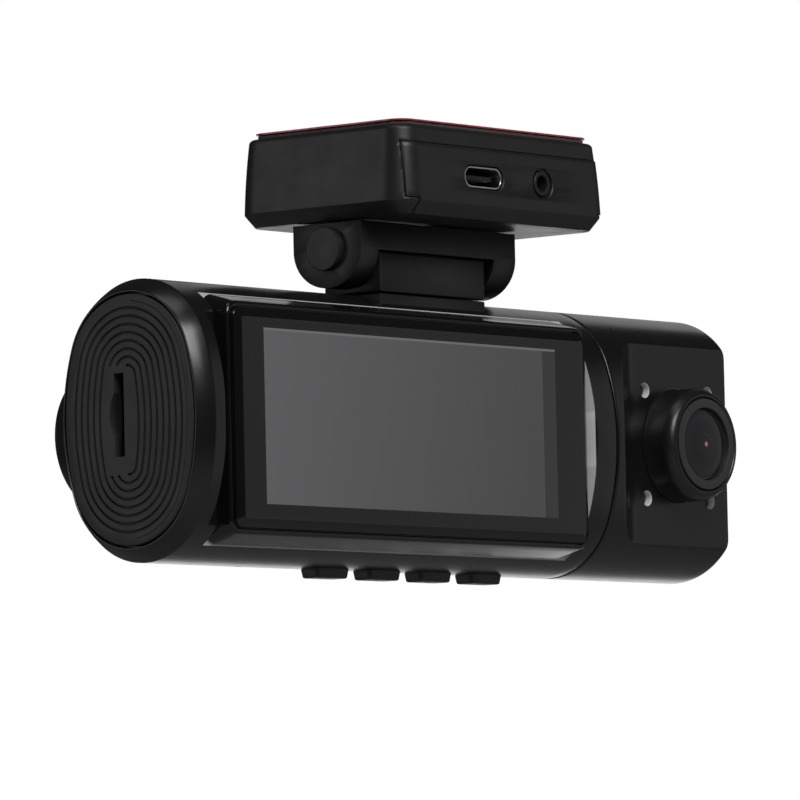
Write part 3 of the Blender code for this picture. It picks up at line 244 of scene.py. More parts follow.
def coatedGlass(name, centre, reflectedTint, radius):
    # coated front element: a painted reflection of the coating, pinkish and strongest in the middle, a faint
    # reflected tint in two rings, and faint lighter rings where the element edges show through, painted as thin
    # highlights
    material, tree, shader = newFinish(name, (0.01, 0.01, 0.012), 0.04, Specular_IOR_Level=0.22,
                                       Coat_Weight=0.15, Coat_Roughness=0.03)
    moved = addNode(tree, "ShaderNodeVectorMath", {0: objectPoint(tree), 1: centre}, operation="SUBTRACT")
    flat = addNode(tree, "ShaderNodeVectorMath", {0: moved.outputs[0], 1: (1, 0, 1)}, operation="MULTIPLY")
    far = addNode(tree, "ShaderNodeVectorMath", {0: flat.outputs[0]}, operation="LENGTH")
    ramp = addNode(tree, "ShaderNodeValToRGB", {"Fac": calc(tree, "DIVIDE", far.outputs["Value"], radius)})
    # painted reflection: the pinkish glow at the middle and the tinted rings; the thin lighter rings are painted
    # highlights on the element edges
    stops = [(0.0, (0.55, 0.33, 0.30)), (0.055, (0.40, 0.20, 0.18)), (0.085, (0.020, 0.018, 0.020)),
             (0.26, (0.016, 0.015, 0.017)), (0.275, (0.040, 0.038, 0.036)), (0.295, (0.014, 0.014, 0.016)),
             (0.38, tuple(t * 0.6 for t in reflectedTint)), (0.395, (0.034, 0.032, 0.032)), (0.41, (0.012, 0.012, 0.014)),
             (0.80, reflectedTint), (0.93, (0.012, 0.012, 0.014)), (0.955, (0.05, 0.05, 0.052)), (1.0, (0.01, 0.01, 0.012))]
    while len(ramp.color_ramp.elements) < len(stops):
        ramp.color_ramp.elements.new(0.5)
    for stop, (position, colour) in zip(ramp.color_ramp.elements, stops):
        stop.position = position
        stop.color = (*colour, 1)
    tree.links.new(ramp.outputs["Color"], shader.inputs["Base Color"])
    return material


def mottled(name, colour, roughness, scale):
    # epoxy darkened with painted shade, and shrink sleeve: soft mottling only
    material, tree, shader = newFinish(name, colour, roughness)
    spots = noise(tree, objectPoint(tree), scale, 5)
    toneFrom(tree, shader, spots, shade(colour, 0.6), shade(colour, 1.5))
    glossFrom(tree, shader, spots, roughness * 0.7, min(1, roughness * 1.3))
    return material


lensMiddles = {"cabin": middle("cabin_lens_glass"), "road": middle("road_lens_glass")}
finishes = {
    "tubeBlack": moulded("tubeBlack", (0.0075, 0.0075, 0.008), 0.26, 0.16, 0.0003, 0.12, 0.02),
    "frameBlack": polished("frameBlack", (0.006, 0.006, 0.0065), 0.10),
    "mountBlack": moulded("mountBlack", (0.0125, 0.0125, 0.013), 0.42, 0.11, 0.004),
    "capBlack": moulded("capBlack", (0.014, 0.014, 0.0145), 0.47, 0.13, 0.005),
    "discGrey": moulded("discGrey", (0.026, 0.026, 0.027), 0.55, 0.14, 0.006),
    "lensBlack": moulded("lensBlack", (0.009, 0.009, 0.0095), 0.34, 0.12, 0.0006, 0.15, 0.03),
    "ringBlack": moulded("ringBlack", (0.034, 0.034, 0.035), 0.40, 0.10, 0.001),
    "innerBlack": moulded("innerBlack", (0.010, 0.010, 0.010), 0.55, 0.12, 0.004),
    "coverGlass": coverGlass("coverGlass"),
    "cabinGlass": coatedGlass("cabinGlass", lensMiddles["cabin"], (0.022, 0.018, 0.022), 5.6 * mm),
    "roadGlass": coatedGlass("roadGlass", lensMiddles["road"], (0.016, 0.020, 0.030), 7.6 * mm),
    "portSteel": brushed("portSteel", (0.70, 0.69, 0.67), 0.22, (2500, 40, 2500)),
    "partSteel": brushed("partSteel", (0.60, 0.60, 0.61), 0.30),
    "contactGold": brushed("contactGold", (0.80, 0.58, 0.25), 0.30, (2500, 60, 2500)),
    "displayPanel": polished("displayPanel", (0.05, 0.05, 0.055), 0.25),
    "boardGreen": solderMask("boardGreen"),
    "sleeveBlue": mottled("sleeveBlue", (0.03, 0.05, 0.12), 0.35, 300),
    "tapeFoam": cellFoam("tapeFoam", (0.055, 0.055, 0.058)),
    "linerRed": releaseFilm("linerRed"),
    # painted shade: the clear lamp epoxy gets a near-black colour that stands for the shade in its hole
    "shadedLampEpoxy": mottled("shadedLampEpoxy", (0.016, 0.009, 0.012), 0.48, 500),
}
slotFinish = {"gloss_black": "tubeBlack", "satin_black": "mountBlack", "disc_grey": "discGrey",
              "inner_black": "innerBlack", "screen_glass": "coverGlass", "lens_glass": "cabinGlass",
              "lcd": "displayPanel", "steel": "partSteel", "circuit_board": "boardGreen",
              "capacitor_sleeve": "sleeveBlue", "foam": "tapeFoam", "liner_red": "linerRed", "led": "shadedLampEpoxy"}
for name, node in cadNodes.items():
    node.data.materials.clear()
    node.data.materials.append(finishes[slotFinish[slotOf[name]]])
print("finishes made:", len(finishes))


# ---- mesh makers

def linked(thing):
    bpy.context.scene.collection.objects.link(thing)
    return thing


def newPiece(name, mesh, finish=None):
    piece = linked(bpy.data.objects.new(name, mesh))
    if finish:
        piece.data.materials.clear()
        piece.data.materials.append(finishes[finish])
    return piece


def meshOf(name, cage):
    bmesh.ops.remove_doubles(cage, verts=cage.verts, dist=1e-7)
    bmesh.ops.recalc_face_normals(cage, faces=cage.faces)
    mesh = bpy.data.meshes.new(name)
    cage.to_mesh(mesh)
    cage.free()
    return mesh


def smooth(piece, angle=32):
    piece.data.shade_smooth()
    piece.data.set_sharp_from_angle(angle=math.radians(angle))
    return piece


def settle(piece, angle=32):
    # the evaluated shape becomes the piece's own mesh
    bpy.context.view_layer.update()
    made = bpy.data.meshes.new_from_object(piece.evaluated_get(bpy.context.evaluated_depsgraph_get()))
    piece.modifiers.clear()
    piece.data = made
    return smooth(piece, angle)


def carve(piece, cutters, operation="DIFFERENCE"):
    for cutter in cutters:
        step = piece.modifiers.new("Cut", "BOOLEAN")
        step.operation = operation
        step.solver = "EXACT"
        step.object = cutter
    settle(piece)
    for cutter in cutters:
        bpy.data.objects.remove(cutter, do_unlink=True)
    return piece


def soften(piece, width, segments=3, angle=32):
    edge = piece.modifiers.new("Edge", "BEVEL")
    edge.width = width * mm
    edge.segments = segments
    edge.limit_method = "ANGLE"
    edge.angle_limit = math.radians(angle)
    edge.harden_normals = True
    return settle(piece, 50)


def stitch(rings, closed):
    # quads from ring to ring; closed joins the last ring to the first
    cage = bmesh.new()
    rows = [[cage.verts.new(point) for point in ring] for ring in rings]
    pairs = list(zip(rows, rows[1:]))
    if closed:
        pairs.append((rows[-1], rows[0]))
    for lower, upper in pairs:
        for i in range(len(lower)):
            j = (i + 1) % len(lower)
            cage.faces.new((lower[i], lower[j], upper[j], upper[i]))
    return cage, rows


def loft(name, rings, finish=None, capped=True):
    cage, rows = stitch(rings, not capped)
    if capped:
        cage.faces.new(rows[0])
        cage.faces.new(rows[-1])
    return smooth(newPiece(name, meshOf(name, cage), finish))


def turned(name, profile, centre, aim, finish=None, steps=160):
    # (radius, height) profile turned about aim; heights grow along it
    turn = Vector(aim).to_track_quat("Z", "Y").to_matrix()
    rings = []
    for radius, height in profile:
        ring = []
        for i in range(steps):
            angle = 2 * math.pi * i / steps
            spot = Vector((radius * math.cos(angle), radius * math.sin(angle), height)) * mm
            ring.append(Vector(centre) + turn @ spot)
        rings.append(ring)
    cage, _ = stitch(rings, profile[0][0] > 0 or profile[-1][0] > 0)
    bmesh.ops.remove_doubles(cage, verts=cage.verts, dist=1e-7)
    bmesh.ops.dissolve_degenerate(cage, edges=cage.edges, dist=1e-8)
    return smooth(newPiece(name, meshOf(name, cage), finish), 28)


def rounded(length, height, radius, steps=8, centre=(0.0, 0.0)):
    radius = max(radius, 0.02)
    points = []
    for quarter, (sx, sz) in enumerate([(1, 1), (-1, 1), (-1, -1), (1, -1)]):
        for i in range(steps + 1):
            angle = math.radians(90 * (quarter + i / steps))
            points.append((centre[0] + sx * (length / 2 - radius) + radius * math.cos(angle),
                           centre[1] + sz * (height / 2 - radius) + radius * math.sin(angle)))
    return points


def oval(depth, height, count):
    # the tube's section as (y, z), by the direction of its outward normal
    side = sideRadius
    end = (2 * side * depth - depth ** 2 - height ** 2) / (2 * (side - height))
    split = (height - end) / (side - end)
    points = []
    for i in range(count):
        cos, sin = math.cos(2 * math.pi * i / count), math.sin(2 * math.pi * i / count)
        if abs(sin) < split:
            points.append((side * cos - math.copysign(side - depth, cos), side * sin))
        else:
            points.append((end * cos, end * sin + math.copysign(height - end, sin)))
    return points


def block(name, low, high, finish=None):
    outline = [(low.x, low.y), (high.x, low.y), (high.x, high.y), (low.x, high.y)]
    return loft(name, [[Vector((x, y, z)) for x, y in outline] for z in (low.z, high.z)], finish)


def joinInto(piece, other):
    cage = bmesh.new()
    cage.from_mesh(piece.data)
    cage.from_mesh(other.data)
    bpy.data.objects.remove(other, do_unlink=True)
    cage.to_mesh(piece.data)
    cage.free()


def hand(piece, node):
    # the piece stands for this node and rides with it
    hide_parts(node)
    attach(piece, bodyOf[node])
    return piece


# ---- Geometry Nodes helpers

def newGroup(name, sockets):
    tree = bpy.data.node_groups.new(name, "GeometryNodeTree")
    tree.interface.new_socket("Geometry", in_out="INPUT", socket_type="NodeSocketGeometry")
    for label, kind in sockets:
        tree.interface.new_socket(label, in_out="INPUT", socket_type="NodeSocket" + kind)
    tree.interface.new_socket("Geometry", in_out="OUTPUT", socket_type="NodeSocketGeometry")
    return tree, addNode(tree, "NodeGroupInput").outputs


def endGroup(tree, geometry, material):
    real = addNode(tree, "GeometryNodeRealizeInstances", {"Geometry": geometry})
    dressed = addNode(tree, "GeometryNodeSetMaterial", {"Geometry": real.outputs[0], "Material": material})
    addNode(tree, "NodeGroupOutput", {0: dressed.outputs[0]})
    return tree


def grow(piece, tree, **values):
    step = piece.modifiers.new(tree.name, "NODES")
    step.node_group = tree
    for item in tree.interface.items_tree:
        if item.in_out == "INPUT" and item.name.replace(" ", "") in values:
            step[item.identifier] = values[item.name.replace(" ", "")]
    return settle(piece)


def ovalShellTree():
    # a skin round the tube's axis: each profile point holds (distance along, inset, how deep the front may reach)
    tree, given = newGroup("ovalShell", [("Half Depth", "Float"), ("Half Height", "Float"), ("Side Radius", "Float"),
                                         ("End Radius", "Float"), ("Around", "Int"), ("Edge Round", "Float"),
                                         ("End Length", "Float"), ("End Squeeze", "Float"), ("Finish", "Material")])
    add, less, times, over = (partial(calc, tree, kind) for kind in ("ADD", "SUBTRACT", "MULTIPLY", "DIVIDE"))
    count = addNode(tree, "GeometryNodeAttributeDomainSize", {0: given["Geometry"]}).outputs["Point Count"]
    columns = add(given["Around"], 1)
    grid = addNode(tree, "GeometryNodeMeshGrid", {"Vertices X": count, "Vertices Y": columns})
    index = addNode(tree, "GeometryNodeInputIndex").outputs[0]
    row = calc(tree, "FLOOR", over(index, columns))
    position = addNode(tree, "GeometryNodeInputPosition").outputs[0]
    station = addNode(tree, "GeometryNodeSampleIndex", {"Geometry": given["Geometry"], "Value": position,
                                                        "Index": row}, data_type="FLOAT_VECTOR")
    along, inset, depth = addNode(tree, "ShaderNodeSeparateXYZ", {0: station.outputs[0]}).outputs
    angle = times(over(less(index, times(row, columns)), given["Around"]), 2 * math.pi)
    cos, sin = calc(tree, "COSINE", angle), calc(tree, "SINE", angle)
    endReach = less(given["Half Height"], given["End Radius"])
    sideReach = less(given["Side Radius"], given["Half Depth"])
    split = over(endReach, less(given["Side Radius"], given["End Radius"]))
    onSide = calc(tree, "LESS_THAN", calc(tree, "ABSOLUTE", sin), split)
    onEnd = less(1, onSide)
    radius = less(add(times(onSide, given["Side Radius"]), times(onEnd, given["End Radius"])), inset)
    deep = less(times(radius, cos), times(times(onSide, sideReach), calc(tree, "SIGN", cos)))
    tall = add(times(radius, sin), times(times(onEnd, endReach), calc(tree, "SIGN", sin)))
    pressed = calc(tree, "SMOOTH_MAX", deep, times(depth, -1), given["Edge Round"])
    squeeze = addNode(tree, "ShaderNodeMapRange", {"Value": along, "From Min": 0.0,
                                                   "From Max": times(given["End Length"], -1),
                                                   "To Min": 1.0, "To Max": given["End Squeeze"]}).outputs[0]
    spot = addNode(tree, "ShaderNodeCombineXYZ", {0: along, 1: pressed, 2: times(tall, squeeze)})
    skin = addNode(tree, "GeometryNodeSetPosition", {"Geometry": grid.outputs["Mesh"], "Position": spot.outputs[0]})
    closed = addNode(tree, "GeometryNodeMergeByDistance", {"Geometry": skin.outputs[0], "Distance": 1e-7})
    shaded = addNode(tree, "GeometryNodeSetShadeSmooth", {"Geometry": closed.outputs[0]})
    return endGroup(tree, shaded.outputs[0], given["Finish"])


ovalShell = ovalShellTree()


def ovalSkin(name, stations, finish, edgeRound, squeeze=1.0, around=420):
    mesh = bpy.data.meshes.new(name)
    mesh.from_pydata([(x * mm, inset * mm, depth * mm) for x, inset, depth in stations], [], [])
    piece = newPiece(name, mesh)
    grow(piece, ovalShell, HalfDepth=halfDepth * mm, HalfHeight=halfHeight * mm, SideRadius=sideRadius * mm,
         EndRadius=endRadius * mm, Around=around, EdgeRound=edgeRound * mm, EndSqueeze=squeeze,
         EndLength=tubeSizes["endChamfer"] * mm, Finish=finishes[finish])
    cage = bmesh.new()
    cage.from_mesh(piece.data)
    bmesh.ops.translate(cage, vec=place(0, 0, 0), verts=cage.verts)
    openEdges = [edge for edge in cage.edges if edge.is_boundary]
    if openEdges:
        bmesh.ops.holes_fill(cage, edges=openEdges, sides=0)
    bmesh.ops.recalc_face_normals(cage, faces=cage.faces)
    cage.to_mesh(piece.data)
    cage.free()
    return smooth(piece)


def prism(name, outline, low, high, along="y", flare=0.0, flareDepth=0.3, finish=None):
    # a drawn outline; flare opens the end at low for a broken edge
    lay = {"x": lambda u, v, w: place(w, u, v), "y": lambda u, v, w: place(u, w, v),
           "z": lambda u, v, w: place(u, v, w)}[along]
    uMid = sum(u for u, v in outline) / len(outline)
    vMid = sum(v for u, v in outline) / len(outline)

    def wider(amount):
        reach = max(math.hypot(u - uMid, v - vMid) for u, v in outline)
        return [(uMid + (u - uMid) * (1 + amount / reach), vMid + (v - vMid) * (1 + amount / reach))
                for u, v in outline]

    stations = [(low, 0), (high, 0)]
    if flare:
        towards = math.copysign(flareDepth, high - low)
        stations = [(low, flare), (low + towards, flare), (low + towards + math.copysign(flare, towards), 0),
                    (high, 0)]
    return loft(name, [[lay(u, v, w) for u, v in wider(extra)] for w, extra in stations], finish)


def circleOutline(radius, u=0.0, v=0.0, steps=64):
    return [(u + radius * math.cos(2 * math.pi * i / steps), v + radius * math.sin(2 * math.pi * i / steps))
            for i in range(steps)]


# ---- main housing

def makeTube():
    s = tubeSizes
    far, flat = 40.0, s["flatDepth"]
    end, rim, mouth = -s["endChamfer"], s["rimInset"], s["mouthInset"]
    stations = [(-0.4, mouth, far), (end + 0.30, mouth, far), (end + 0.10, mouth - 0.03, far),
                (end, mouth - 0.12, far), (end, rim + 0.08, far), (end + 0.06, rim, far)]
    for i in range(1, 13):   # a slightly crowned chamfer
        share = i / 12
        stations.append((end * (1 - share), rim * (1 - share) - 0.10 * math.sin(math.pi * share), far))
    stations += [(0.25, 0, far), (0.6, 0, far), (1.4, 0, far), (2.0, 0, far)]
    left = s["flatLeft"]
    stations += [(left - 0.12, 0, halfDepth), (left - 0.04, 0, halfDepth - 0.10), (left, 0, halfDepth - 0.25),
                 (left, 0, flat + 0.2), (left + 0.06, 0, flat + 0.05), (left + 0.2, 0, flat)]
    for i in range(1, 12):
        stations.append((left + (s["flatRight"] - left) * i / 12, 0, flat))
    right = s["flatRight"]
    stations += [(right - 0.2, 0, flat), (right - 0.06, 0, flat + 0.05), (right, 0, flat + 0.2),
                 (right, 0, halfDepth - 0.25), (right + 0.04, 0, halfDepth - 0.10),
                 (right + 0.12, 0, halfDepth), (right + 0.3, 0, far), (right + 2.5, 0, far)]
    length = s["length"]
    stations += [(length - 0.40, 0, far), (length - 0.16, 0.04, far), (length - 0.04, 0.14, far),
                 (length, 0.30, far), (length, 2.2, far)]
    stations += [(length - 2.5, s["wall"], 8.3), (5.0, s["wall"], 8.3), (5.0, 5.0, 8.3), (-0.4, 5.0, far),
                 stations[0]]
    tube = ovalSkin("mainHousing", stations, "tubeBlack", s["edgeRound"], s["endSqueeze"])
    cutters = [block("cut", place(s["windowLeft"], -30, -s["windowHalfHeight"]),
                     place(right, s["windowBack"], s["windowHalfHeight"]))]
    for i in range(4):
        low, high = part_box(f"button_{i + 1}")
        x = ((low.x + high.x) / 2 - tubeLeft) / mm
        cutters.append(prism("cut", rounded(*s["buttonHole"], 8, (x, 0)), -24, -10, "z", s["holeEdge"], 3.2))
    reset = circleOutline(s["resetRadius"], s["resetX"], 0, 32)
    cutters.append(prism("cut", reset, -24, -19.4, "z", s["holeEdge"], 3.2))
    cutters.append(prism("cut", circleOutline(s["roadRadius"], *s["roadSpot"], 128), 25, 7, "y"))
    cutters.append(prism("cut", circleOutline(s["swivelRadius"]), 91, 96, "x"))
    carve(tube, cutters)
    low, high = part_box("neck_bracket")
    foot = block("plinth", Vector((low.x, low.y, axisZ + s["plinthFoot"] * mm)),
                 Vector((high.x, high.y, tubeHigh.z)), "mountBlack")
    soften(foot, s["plinthEdge"])
    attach(foot, bodyOf["main_housing"])
    hand(tube, "main_housing")


makeTube()
print("tube made")

# ---- cabin module

moduleSizes = {"length": 32.9, "pocketLeft": 6.8, "slope": 0.8, "blend": 8.0, "endRound": 1.1, "lamp": 1.15,
               "lensHole": 8.95, "edgeRound": 0.55}


def pocketDepth(x):
    # how deep the front may reach at a distance from the module's left face
    s = moduleSizes
    angle = math.atan(s["slope"])
    reach = s["blend"] * math.tan(angle / 2)
    flat = tubeSizes["flatDepth"]
    if x > s["pocketLeft"] + reach:
        return flat
    wallEnd = s["pocketLeft"] - reach * math.cos(angle)
    if x < wallEnd:
        return flat + s["slope"] * (s["pocketLeft"] - x)
    return flat + s["blend"] - math.sqrt(s["blend"] ** 2 - (s["pocketLeft"] + reach - x) ** 2)


def makeModule():
    s = moduleSizes
    start = (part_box("cabin_housing")[0].x - tubeLeft) / mm
    wall, far, flat = tubeSizes["wall"], 40.0, tubeSizes["flatDepth"]
    stations = [(s["length"] - wall, wall, flat - wall), (2.0, wall, flat - wall), (0.0, wall, flat - wall),
                (0.0, 0.30, far), (0.04, 0.14, far), (0.16, 0.04, far), (0.40, 0.0, far)]
    x = 0.8
    while x < 11.0:
        stations.append((x, 0, pocketDepth(x) if x > 1.2 else far))
        x += 0.22
    bend = s["endRound"]
    stations += [(x, 0, flat) for x in (14.0, 18.0, 22.0, 26.0, 30.0)]
    for i in range(9):
        angle = math.radians(90 * i / 8)
        stations.append((s["length"] - bend + bend * math.sin(angle), bend * (1 - math.cos(angle)),
                         flat - 0.25 * (1 - math.cos(angle))))
    module = ovalSkin("cabinHousing", [(start + x, inset, depth) for x, inset, depth in stations], "tubeBlack",
                      s["edgeRound"])
    lensX = (middle("cabin_lens_glass").x - tubeLeft) / mm
    cutters = [prism("cut", circleOutline(s["lensHole"], lensX, 0, 128), -20, -4, "y", 0.15, 9.6)]
    for i in range(4):
        lamp = middle(f"infrared_led_{i + 1}")
        cutters.append(prism("cut", circleOutline(s["lamp"], (lamp.x - tubeLeft) / mm, (lamp.z - axisZ) / mm, 40),
                             -14, -4, "y", 0.07, 3.68))
    carve(module, cutters)
    hand(module, "cabin_housing")


makeModule()
print("cabin module made")

# ---- end disc with its grooves

discSizes = {"halfDepth": 12.3, "halfHeight": 18.3, "thick": 2.0, "firstGroove": 2.0, "pitch": 1.19, "loops": 8,
             "openFrom": 5, "openHeight": 8.15, "hook": (0.20, 0.22), "grooveWidth": 0.25, "grooveSink": 0.12,
             "slotY": 1.75, "slotZ": 0.8, "slotWidth": 1.9, "slotHeight": 12.2, "thumbChord": 8.9,
             "thumbDepth": 0.95, "thumbSink": 1.55, "seamInset": 1.0, "seamSpan": (42, 119), "seamSink": 0.02,
             "seamWidth": 0.09}


def grooveTree():
    # sweeps a round bar along every line and cuts it out of the disc
    tree, given = newGroup("groovedDisc", [("Lines", "Object"), ("Bar Radius", "Float"), ("Bar Steps", "Int"),
                                           ("Finish", "Material")])
    info = addNode(tree, "GeometryNodeObjectInfo", {"Object": given["Lines"]}, transform_space="RELATIVE")
    bar = addNode(tree, "GeometryNodeCurvePrimitiveCircle", {"Resolution": given["Bar Steps"],
                                                             "Radius": given["Bar Radius"]})
    swept = addNode(tree, "GeometryNodeCurveToMesh", {"Curve": info.outputs["Geometry"],
                                                      "Profile Curve": bar.outputs["Curve"], "Fill Caps": True})
    cut = addNode(tree, "GeometryNodeMeshBoolean", {"Mesh 1": given["Geometry"], "Mesh 2": swept.outputs[0],
                                                    "Self Intersection": True},
                  operation="DIFFERENCE", solver="EXACT")
    return endGroup(tree, cut.outputs["Mesh"], given["Finish"])


def makeDisc():
    s = discSizes
    outer = (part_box("end_disc")[0].x - tubeLeft) / mm
    a, b = s["halfDepth"], s["halfHeight"]
    rings = [(outer + s["thick"], 0.0), (outer + 0.25, 0.0), (outer + 0.08, 0.07), (outer, 0.25)]
    disc = loft("endDisc", [[place(x, y, z) for y, z in oval(a - inset, b - inset, 288)] for x, inset in rings],
                "discGrey")
    slot = prism("cut", rounded(s["slotWidth"], s["slotHeight"], 0.15, 4, (s["slotY"], s["slotZ"])),
                 outer - 1, outer + 4, "x")
    sagitta = s["slotWidth"] / 2 + s["thumbDepth"]
    radius = (s["thumbChord"] ** 2 / 4 + sagitta ** 2) / (2 * sagitta)
    away = s["slotY"] + sagitta - radius
    half = math.asin(s["thumbChord"] / 2 / radius)
    thumb = [(away + radius * math.cos(half * (i / 16 - 1)), s["slotZ"] + radius * math.sin(half * (i / 16 - 1)))
             for i in range(33)]
    thumb += [(s["slotY"], s["slotZ"] + s["thumbChord"] / 2), (s["slotY"], s["slotZ"] - s["thumbChord"] / 2)]
    carve(disc, [slot, prism("cut", thumb, outer - 1, outer + s["thumbSink"], "x")])
    level, strokes = outer + s["grooveSink"], []
    for loop in range(s["loops"]):
        inset = s["firstGroove"] + loop * s["pitch"]
        points = oval(a - inset, b - inset, 160)
        if loop >= s["openFrom"]:   # the inner loops stop short beside the slot, with a small hook
            points = [(y, z) for y, z in points if y <= 0.01 or abs(z) >= s["openHeight"]]
            (y, z), (endY, endZ) = points[0], points[-1]
            hookY, hookZ = s["hook"]
            points = [(y + hookY, z - hookZ)] + points + [(endY + hookY, endZ + hookZ)]
        strokes.append(([place(level, y, z) for y, z in points], loop < s["openFrom"]))
    tree = grooveTree()
    engrave(disc, tree, "grooveLines", strokes, s["grooveWidth"], 12)
    start, end = s["seamSpan"]
    seam = oval(a - s["seamInset"], b - s["seamInset"], 160)[start:end]
    seamPoints = [place(outer + s["seamSink"], y, z) for y, z in seam]
    engrave(disc, tree, "seamLine", [(seamPoints, False)], s["seamWidth"], 8)
    hand(disc, "end_disc")


def engrave(piece, tree, name, strokes, width, steps):
    # each stroke is (points, cyclic)
    curve = bpy.data.curves.new(name, "CURVE")
    curve.dimensions = "3D"
    for points, cyclic in strokes:
        line = curve.splines.new("POLY")
        line.points.add(len(points) - 1)
        for spot, point in zip(line.points, points):
            spot.co = (*point, 1)
        line.use_cyclic_u = cyclic
    bare = linked(bpy.data.objects.new(name, curve))
    grow(piece, tree, Lines=bare, BarRadius=width * mm, BarSteps=steps, Finish=finishes["discGrey"])
    bpy.data.objects.remove(bare, do_unlink=True)


makeDisc()
print("end disc made")

# ---- screen

screenSizes = {"corner": 2.3, "footZ": 18.25, "frontZ": 16.9, "lip": 0.45, "groove": 0.22, "bevel": 1.36,
               "bevelDrop": 0.57}


def makeScreen():
    s = screenSizes
    low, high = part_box("screen_frame")
    left, right = (low.x - tubeLeft) / mm, (high.x - tubeLeft) / mm
    front, back = low.y / mm, high.y / mm
    length, mid = right - left, (left + right) / 2

    def ring(y, inset, corner):
        share = (y - front) / (back - front)
        height = s["frontZ"] + (s["footZ"] - s["frontZ"]) * share - inset
        return [place(mid + u, y, v) for u, v in rounded(length - 2 * inset, 2 * height, corner, 10)]

    corner, lip = s["corner"], s["lip"]
    rings = [ring(back, 0, corner), ring(front + 1.6, 0, corner), ring(front + 0.55, 0.02, corner)]
    for i in range(1, 9):   # rounded outer edge, then the small lip round the glass
        angle = math.radians(90 * i / 8)
        rings.append(ring(front + 0.55 * (1 - math.sin(angle)), 0.02 + 0.40 * (1 - math.cos(angle)), corner - 0.3))
    rings += [ring(front, lip, corner - lip), ring(front + 0.03, lip + 0.09, corner - lip),
              ring(front + 0.12, lip + 0.13, corner - lip), ring(front + 0.55, lip + 0.15, corner - lip),
              ring(front + 0.58, 3.0, 0.6), ring(back, 3.0, 0.6)]
    hand(loft("screenFrame", rings, "frameBlack", False), "screen_frame")
    inset = lip + 0.15 + s["groove"]
    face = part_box("screen_glass")[0].y / mm
    rings = [ring(front + 0.5, inset, 1.5), ring(front + 0.05, inset, 1.5), ring(front + 0.02, inset - 0.05, 1.5),
             ring(front - 0.03, inset - 0.05, 1.5), ring(front - 0.06, inset, 1.5)]
    edgeY = face + s["bevelDrop"]
    rings += [ring(edgeY + 0.05, inset, 1.5), ring(edgeY, inset + 0.03, 1.5)]
    for i in range(1, 11):   # the glass edge is ground round
        share = i / 10
        rings.append(ring(face + s["bevelDrop"] * (1 - share) ** 1.5, inset + 0.03 + s["bevel"] * share,
                          1.5 - 0.6 * share))
    hand(smooth(loft("coverGlass", rings, "coverGlass"), 20), "screen_glass")


makeScreen()
print("screen made")

# ---- mount base

baseSizes = {"chamfer": 2.0, "chamferInset": 1.6, "corner": 4.5, "draft": 0.9, "crown": 0.0045, "slope": 0.034,
             "topRound": 0.75, "panelSide": 1.6, "panelTop": 2.7, "panelStep": 2.1, "foot": 3.0, "seam": 0.12,
             "edge": 0.14, "skin": 1.6, "floor": 1.8, "panelProud": 0.12}


def makeBase():
    s = baseSizes
    low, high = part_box("base_shell")
    length, depth = (high.x - low.x) / mm, (high.y - low.y) / mm
    bottom, top = low.z / mm, high.z / mm

    def wallInset(z):   # the walls lean in and are slightly crowned
        rise = z - bottom - s["chamfer"]
        return s["slope"] * rise + s["crown"] * rise ** 2

    def solid(name, finish=None, proud=0.0):
        stations = [(bottom, s["chamferInset"] + 0.12), (bottom + 0.04, s["chamferInset"]),
                    (bottom + s["chamfer"] - 0.12, 0.08), (bottom + s["chamfer"] - 0.02, 0.02)]
        upper = top - s["topRound"]
        stations += [(z, wallInset(z)) for z in [bottom + s["chamfer"] + 0.1
                                                 + (upper - bottom - s["chamfer"] - 0.1) * i / 8 for i in range(9)]]
        for i in range(1, 8):
            angle = math.radians(90 * i / 7)
            stations.append((upper + s["topRound"] * math.sin(angle),
                             wallInset(upper) + s["topRound"] * (1 - math.cos(angle))))
        rings = [[Vector((u * mm, v * mm, z * mm)) for u, v in
                  rounded(length - 2 * (inset - proud), depth - 2 * (inset - proud), s["corner"] - inset, 14)]
                 for z, inset in stations]
        return loft(name, rings, finish)

    def panelShape(name, grow):
        wide = length / 2 - s["panelSide"] + grow
        narrow = wide - s["panelStep"]
        upper, step = top - s["panelTop"] + grow, bottom + s["chamfer"] + 0.45 - grow
        outline = [(wide, upper), (-wide, upper), (-wide, step), (-narrow, step), (-narrow, bottom - 2),
                   (narrow, bottom - 2), (narrow, step), (wide, step)]
        return loft(name, [[Vector((u * mm, y * mm, v * mm)) for u, v in outline]
                           for y in (-depth, -depth / 2 + s["foot"] + grow)])

    def hollow(wall):
        inside = s["draft"] + wall
        outline = rounded(2 * (length / 2 - inside), 2 * (depth / 2 - inside), 2.0, 6)
        return loft("cut", [[Vector((u * mm, v * mm, z * mm)) for u, v in outline]
                            for z in (bottom + s["floor"], top + 2)])

    shell = solid("baseShell", "mountBlack")
    carve(shell, [hollow(s["floor"]), panelShape("cut", s["seam"])])
    soften(shell, s["edge"], 2)
    hand(shell, "base_shell")

    panel = solid("portPanel", "mountBlack", s["panelProud"])
    carve(panel, [panelShape("keep", 0.0)], "INTERSECT")
    port = middle("usb_c_shell")
    jack = middle("av_jack")
    face = -(depth / 2 - wallInset(port.z / mm) + s["panelProud"])
    usb = [[Vector((port.x + u * mm, y * mm, port.z + v * mm)) for u, v in
            rounded(9.30 + extra, 3.62 + extra, 1.80 + extra / 2, 12)]
           for y, extra in ((-20, 0.30), (face - 0.02, 0.30), (face + 0.14, 0), (-10, 0))]
    carve(panel, [hollow(s["skin"]), loft("cut", usb)])
    hole = turned("cut", [(0, 5), (2.52, 5), (2.52, 0.02), (2.38, -0.12), (2.36, -0.5), (1.98, -0.55), (1.98, -6),
                          (0, -6)], (jack.x, face * mm, jack.z), (0, -1, 0), None, 96)
    carve(panel, [hole])
    soften(panel, s["edge"] * 0.8, 2)
    hand(panel, "port_panel")


makeBase()
print("mount base made")

# ---- ports

portSizes = {"wall": 0.3, "lip": 0.12, "contacts": 12, "contactPitch": 0.5, "contactWidth": 0.26, "tongue": 6.7,
             "tongueThick": 0.7}


